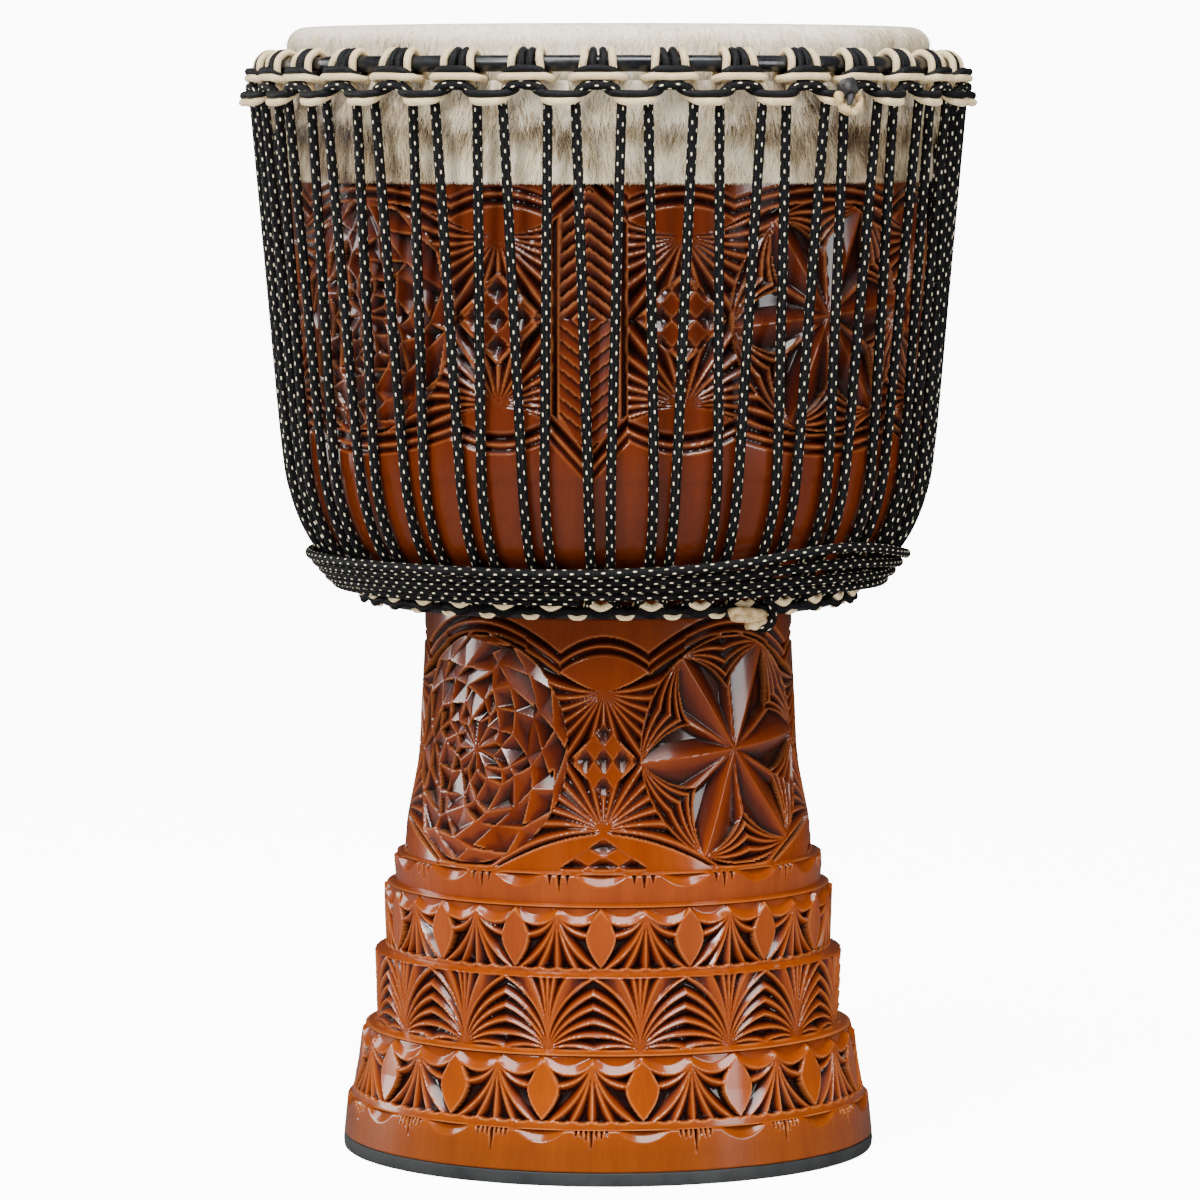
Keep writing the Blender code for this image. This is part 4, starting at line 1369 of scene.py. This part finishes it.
def buildHeadLacing():
    picks = np.random.default_rng(23)
    headCord("topCordBlack", lacing["black"], "top_cord_black", blackCordLook, picks)
    headCord("topCordCream", lacing["cream"], "top_cord_cream", creamCordLook, picks)
    buildTensionRope(picks)


buildHeadLacing()
print("head lacing built")

# Waist
waist = {
    # One step of a scalloped cord: (share of the way from one low hop to the next, radius, height), in mm
    "cream": [(0.0, 126.0, 295.0), (0.10, 126.2, 295.4), (0.17, 126.6, 299.0), (0.26, 131.4, 302.8),
              (0.38, 132.8, 301.2), (0.5, 133.2, 300.1)],
    "black": [(0.0, 129.8, 297.6), (0.12, 130.4, 298.2), (0.28, 131.5, 297.9), (0.5, 132.2, 296.2)],
    "turns": 4.4, "start": -150.0, "row": 5.3, "first": 31.5,
    "track": [(174.5, 349.2), (164.1, 325.1), (147.9, 306.6), (132.3, 294.9)],
    "hump": 48.0, "humpWidth": 27.0, "humpHeight": [13.0, 8.0, 3.0, 1.0, 0.0],
}


def scallop(name, steps, node, look):
    path = []
    pitch = 360.0 / lacing["hitches"]
    for i in range(lacing["hitches"]):
        middle = hitchAngle(i + 0.5)
        for share, r, z in steps:
            path.append(polar(middle + share * pitch, r * mm, z * mm))
        for share, r, z in steps[-2:0:-1]:
            path.append(polar(middle + (1 - share) * pitch, r * mm, z * mm))
    made = cordPiece(name, path, lacing["cord"], look, closed=True, sides=12, spacing=1.0 * mm)
    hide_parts(node)


def buildWaistRope():
    track = np.array(waist["track"])
    lengths = np.concatenate([[0], np.cumsum(np.linalg.norm(np.diff(track, axis=0), axis=1))])
    path = []
    perTurn = 90  # points of the path in each turn
    picks = np.random.default_rng(5)
    loose = picks.uniform(0, 360, 6)
    for k in range(int(waist["turns"] * perTurn) + 1):
        share = k / perTurn
        degrees = waist["start"] + 360.0 * share
        # Which row this stretch of rope belongs to where it passes the front
        turn = (degrees + 180) // 360
        place = (degrees + 180) % 360 - 180
        rise = np.interp(turn, range(len(waist["humpHeight"])), waist["humpHeight"])
        hump = rise * math.exp(-((place - waist["hump"]) / waist["humpWidth"]) ** 2)
        uneven = sum(0.22 * math.sin(math.radians(degrees * n * 0.93 + loose[n])) for n in (2, 3, 5))
        at = waist["first"] + waist["row"] * share - hump + uneven
        r = float(np.interp(at, lengths, track[:, 0]))
        z = float(np.interp(at, lengths, track[:, 1]))
        path.append(polar(degrees, r * mm, z * mm))
    made = cordPiece("waistRope", path, lacing["rope"], ropeLook, sides=12, spacing=1.4 * mm)
    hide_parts("waist_rope")


scallop("bottomCordCream", waist["cream"], "bottom_cord_cream", creamCordLook)
scallop("bottomCordBlack", waist["black"], "bottom_cord_black", blackCordLook)
buildWaistRope()
print("waist built")


# Joined cord ends
def meltedLook(name, dark, light, gloss):
    made, tree, shader = newMaterial(name)
    worn = useGroup(tree, handling, {"Vector": objectSpace(tree), "Scale": 260.0})
    tree.links.new(mixColour(tree, worn["Mask"], dark, light), shader.inputs["Base Color"])
    feed(tree, shader.inputs["Roughness"], spread(tree, worn["Fine"], 0.3, 0.7, gloss, gloss + 0.25))
    bump(tree, shader, worn["Fine"], 0.0004, 0.6)
    return made


meltedBlack = meltedLook("melted black", (0.006, 0.006, 0.007, 1.0), (0.045, 0.042, 0.040, 1.0), 0.3)
meltedCream = meltedLook("melted cream", (0.30, 0.17, 0.06, 1.0), (0.66, 0.50, 0.26, 1.0), 0.3)


def lump(name, centre, size, look, turn, seed, roughness=0.18):
    # A melted blob: a ball with an uneven surface, turned to the drum's wall
    columns, rows = 40, 24
    i, j = np.meshgrid(np.arange(rows), np.arange(columns), indexing="ij")
    polarAngle = np.pi * (i + 0.5) / rows
    around = 2 * np.pi * j / columns
    x, y, z = np.sin(polarAngle) * np.cos(around), np.sin(polarAngle) * np.sin(around), -np.cos(polarAngle)
    picks = np.random.default_rng(seed)
    swell = np.ones(x.shape)
    for _ in range(9):
        a, b, c = picks.normal(0, 1, 3)
        swell += roughness / 3 * np.sin(2.2 * (x * a + y * b + z * c) + picks.uniform(0, 6))
    points = np.stack([x, y, z], axis=-1) * swell[..., None] * np.array(size)
    cosine, sine = math.cos(math.radians(turn)), math.sin(math.radians(turn))
    facing = points.copy()
    facing[..., 0] = points[..., 0] * cosine - points[..., 1] * sine
    facing[..., 1] = points[..., 0] * sine + points[..., 1] * cosine
    points = (facing + np.array(centre)).reshape(-1, 3)
    caps = np.array([points[:columns].mean(0), points[-columns:].mean(0)])
    faces = gridFaces(rows, columns)
    k = np.arange(columns)
    after = (k + 1) % columns
    lastRow = (rows - 1) * columns
    low = np.stack([np.full(columns, len(points)), after, k], axis=1)
    high = np.stack([np.full(columns, len(points) + 1), lastRow + k, lastRow + after], axis=1)
    points = np.concatenate([points, caps])
    uv = gridMap(rows, columns) * (1.0, 0.9) + (0.0, 0.05)
    flat = k * 0.0
    lowMap = np.stack([
        np.stack([(k + 0.5) / columns, flat], -1),
        np.stack([(k + 1) / columns, flat + 0.05], -1),
        np.stack([k / columns, flat + 0.05], -1),
    ], axis=1).reshape(-1, 2)
    highMap = lowMap.copy()
    highMap[:, 1] = 1 - highMap[:, 1]
    uv = np.concatenate([uv, lowMap, highMap])
    return meshPiece(name, points, [faces, low, high], look, {"OFBake": uv}, None, 70)


# Melted ends: centres and bends as (degrees from the joint, out from it, up), in mm
joints = {
    "topBlob": (0.0, -1.5, 5.5), "topBlobSize": (0.0062, 0.0032, 0.0046),
    "topLoop": [(-1.6, -2.0, 2.5), (-2.0, -0.2, -0.8), (-1.7, 0.6, -4.2), (-0.6, 0.9, -6.4), (0.7, 0.9, -6.4),
                (1.6, 0.6, -4.0), (1.9, 0.0, -0.6), (1.3, -1.0, 2.4)],
    "topTip": [(0.4, -1.0, 3.0), (0.1, 0.4, 0.8), (-0.2, 1.0, -1.6), (-0.3, 1.2, -3.4)],
    "bottomBlob": (-1.2, -1.0, 0.0), "bottomBlobSize": (0.0085, 0.0036, 0.0040),
    "bottomBend": [(-6.0, -2.5, 2.0), (-4.0, 0.0, 3.4), (-1.5, 1.6, 3.0), (0.8, 2.0, 1.0), (2.0, 1.4, -2.0),
                   (0.6, 1.0, -4.2), (-2.2, 0.6, -4.6)],
    "bottomRope": [(2.6, 3.0, 9.0), (3.4, 3.6, 4.0), (3.8, 3.0, -1.0), (3.0, 2.0, -4.8), (0.8, 1.2, -6.4)],
}


def jointPlace(node):
    # Gives the joint's angle, and a way to turn steps from it into points
    low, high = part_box(node)
    centre = (low + high) / 2
    turn = math.degrees(math.atan2(centre.x, -centre.y))
    r = math.hypot(centre.x, centre.y)
    return turn, lambda steps: [polar(turn + a, r + out * mm, centre.z + up * mm) for a, out, up in steps]


def buildTopJoint():
    turn, place = jointPlace("top_cord_joint")
    black = lump("topJointBlack", place([joints["topBlob"]])[0], joints["topBlobSize"], meltedBlack, turn, 3)
    cream = cordPiece("topJointCream", place(joints["topLoop"]), 0.0022, meltedCream, sides=14,
                      spacing=0.6 * mm, girth=lambda s: 1 + 0.18 * np.sin(s * 21) + 0.1 * np.sin(s * 47))
    tip = cordPiece("topJointTip", place(joints["topTip"]), 0.0021, meltedBlack, sides=12, spacing=0.6 * mm,
                    girth=lambda s: 1 - 0.45 * s ** 3)
    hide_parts("top_cord_joint")


def buildBottomJoint():
    turn, place = jointPlace("bottom_cord_joint")
    knot = lump("bottomJointKnot", place([joints["bottomBlob"]])[0], joints["bottomBlobSize"], meltedCream,
                turn, 8, 0.3)
    bend = cordPiece("bottomJointBend", place(joints["bottomBend"]), 0.0021, meltedCream, sides=14,
                     spacing=0.6 * mm, girth=lambda s: 1 + 0.14 * np.sin(s * 17) + 0.1 * np.sin(s * 39))
    tail = cordPiece("bottomJointRope", place(joints["bottomRope"]), lacing["rope"], ropeLook, sides=12,
                     spacing=0.9 * mm)
    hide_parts("bottom_cord_joint")


buildTopJoint()
buildBottomJoint()
print("joined ends built")


# Floor, light and camera
studio = {
    "floorSize": 60.0, "sky": 0.20, "mirrored": 0.05, "backdrop": 11.0, "paperGlow": 10.6,
    "cameraDistance": 3.283, "cameraHeight": 0.549, "aimHeight": 0.2940, "aside": -0.0044, "lens": 183.9,
    # Soft boxes: place, size and power
    "key": ((-1.5, -2.3, 2.0), (0.6, 0.9), 84.0), "fill": ((2.1, -1.5, 0.9), (0.6, 1.5), 30.0),
    "top": ((0.0, -0.95, 2.2), (2.0, 0.9), 96.0), "rim": ((-1.7, 0.7, 0.7), (0.5, 1.4), 22.0),
}


def softBox(name, aim):
    place, size, power = studio[name]
    light = bpy.data.lights.new(name, "AREA")
    light.shape = "RECTANGLE"
    light.size, light.size_y = size
    light.energy = power
    made = bpy.data.objects.new(name, light)
    made.location = place
    made.rotation_euler = (Vector(aim) - Vector(place)).to_track_quat("-Z", "Y").to_euler()
    bpy.context.scene.collection.objects.link(made)


def buildStudio():
    half = studio["floorSize"] / 2
    corners = [(-half, -half, 0.0), (half, -half, 0.0), (half, half, 0.0), (-half, half, 0.0)]
    mesh = bpy.data.meshes.new("floor")
    mesh.from_pydata(corners, [], [(0, 1, 2, 3)])
    paper, tree, shader = newMaterial("pale floor")
    soft = noise(tree, objectSpace(tree), 3.0)
    tone = mixColour(tree, soft, (0.92, 0.92, 0.92, 1.0), (0.96, 0.96, 0.96, 1.0))
    rays = tree.nodes.new("ShaderNodeLightPath").outputs
    # The lacquer mirrors a dim floor, so that its colour stays deep
    tone = mixColour(tree, rays["Is Glossy Ray"], tone, (0.10, 0.10, 0.10, 1.0))
    tree.links.new(tone, shader.inputs["Base Color"])
    shader.inputs["Roughness"].default_value = 0.9
    shader.inputs["Emission Color"].default_value = (1.0, 1.0, 1.0, 1.0)
    glow = maths(tree, "MULTIPLY", rays["Is Camera Ray"], studio["paperGlow"])
    feed(tree, shader.inputs["Emission Strength"], glow)
    mesh.materials.append(paper)
    floor = bpy.data.objects.new("floor", mesh)
    bpy.context.scene.collection.objects.link(floor)
    world = bpy.data.worlds.new("studio")
    bpy.context.scene.world = world
    world.use_nodes = True
    background = world.node_tree.nodes["Background"]
    background.inputs["Color"].default_value = (1.0, 1.0, 1.0, 1.0)
    rays = world.node_tree.nodes.new("ShaderNodeLightPath").outputs
    ambient = spread(world.node_tree, rays["Is Glossy Ray"], 0.0, 1.0, studio["sky"], studio["mirrored"])
    glow = spread(world.node_tree, rays["Is Camera Ray"], 0.0, 1.0, ambient, studio["backdrop"])
    feed(world.node_tree, background.inputs["Strength"], glow)
    aim = (0.0, 0.0, drumHeight * 0.5)
    for name in ("key", "fill", "top", "rim"):
        softBox(name, aim)
    camera = bpy.data.cameras.new("camera")
    camera.lens = studio["lens"]
    camera.sensor_width = 36.0
    eye = bpy.data.objects.new("camera", camera)
    eye.location = (studio["aside"], -studio["cameraDistance"], studio["cameraHeight"])
    target = Vector((studio["aside"], 0.0, studio["aimHeight"]))
    eye.rotation_euler = (target - Vector(eye.location)).to_track_quat("-Z", "Y").to_euler()
    bpy.context.scene.collection.objects.link(eye)
    bpy.context.scene.camera = eye


buildStudio()
print("studio set")
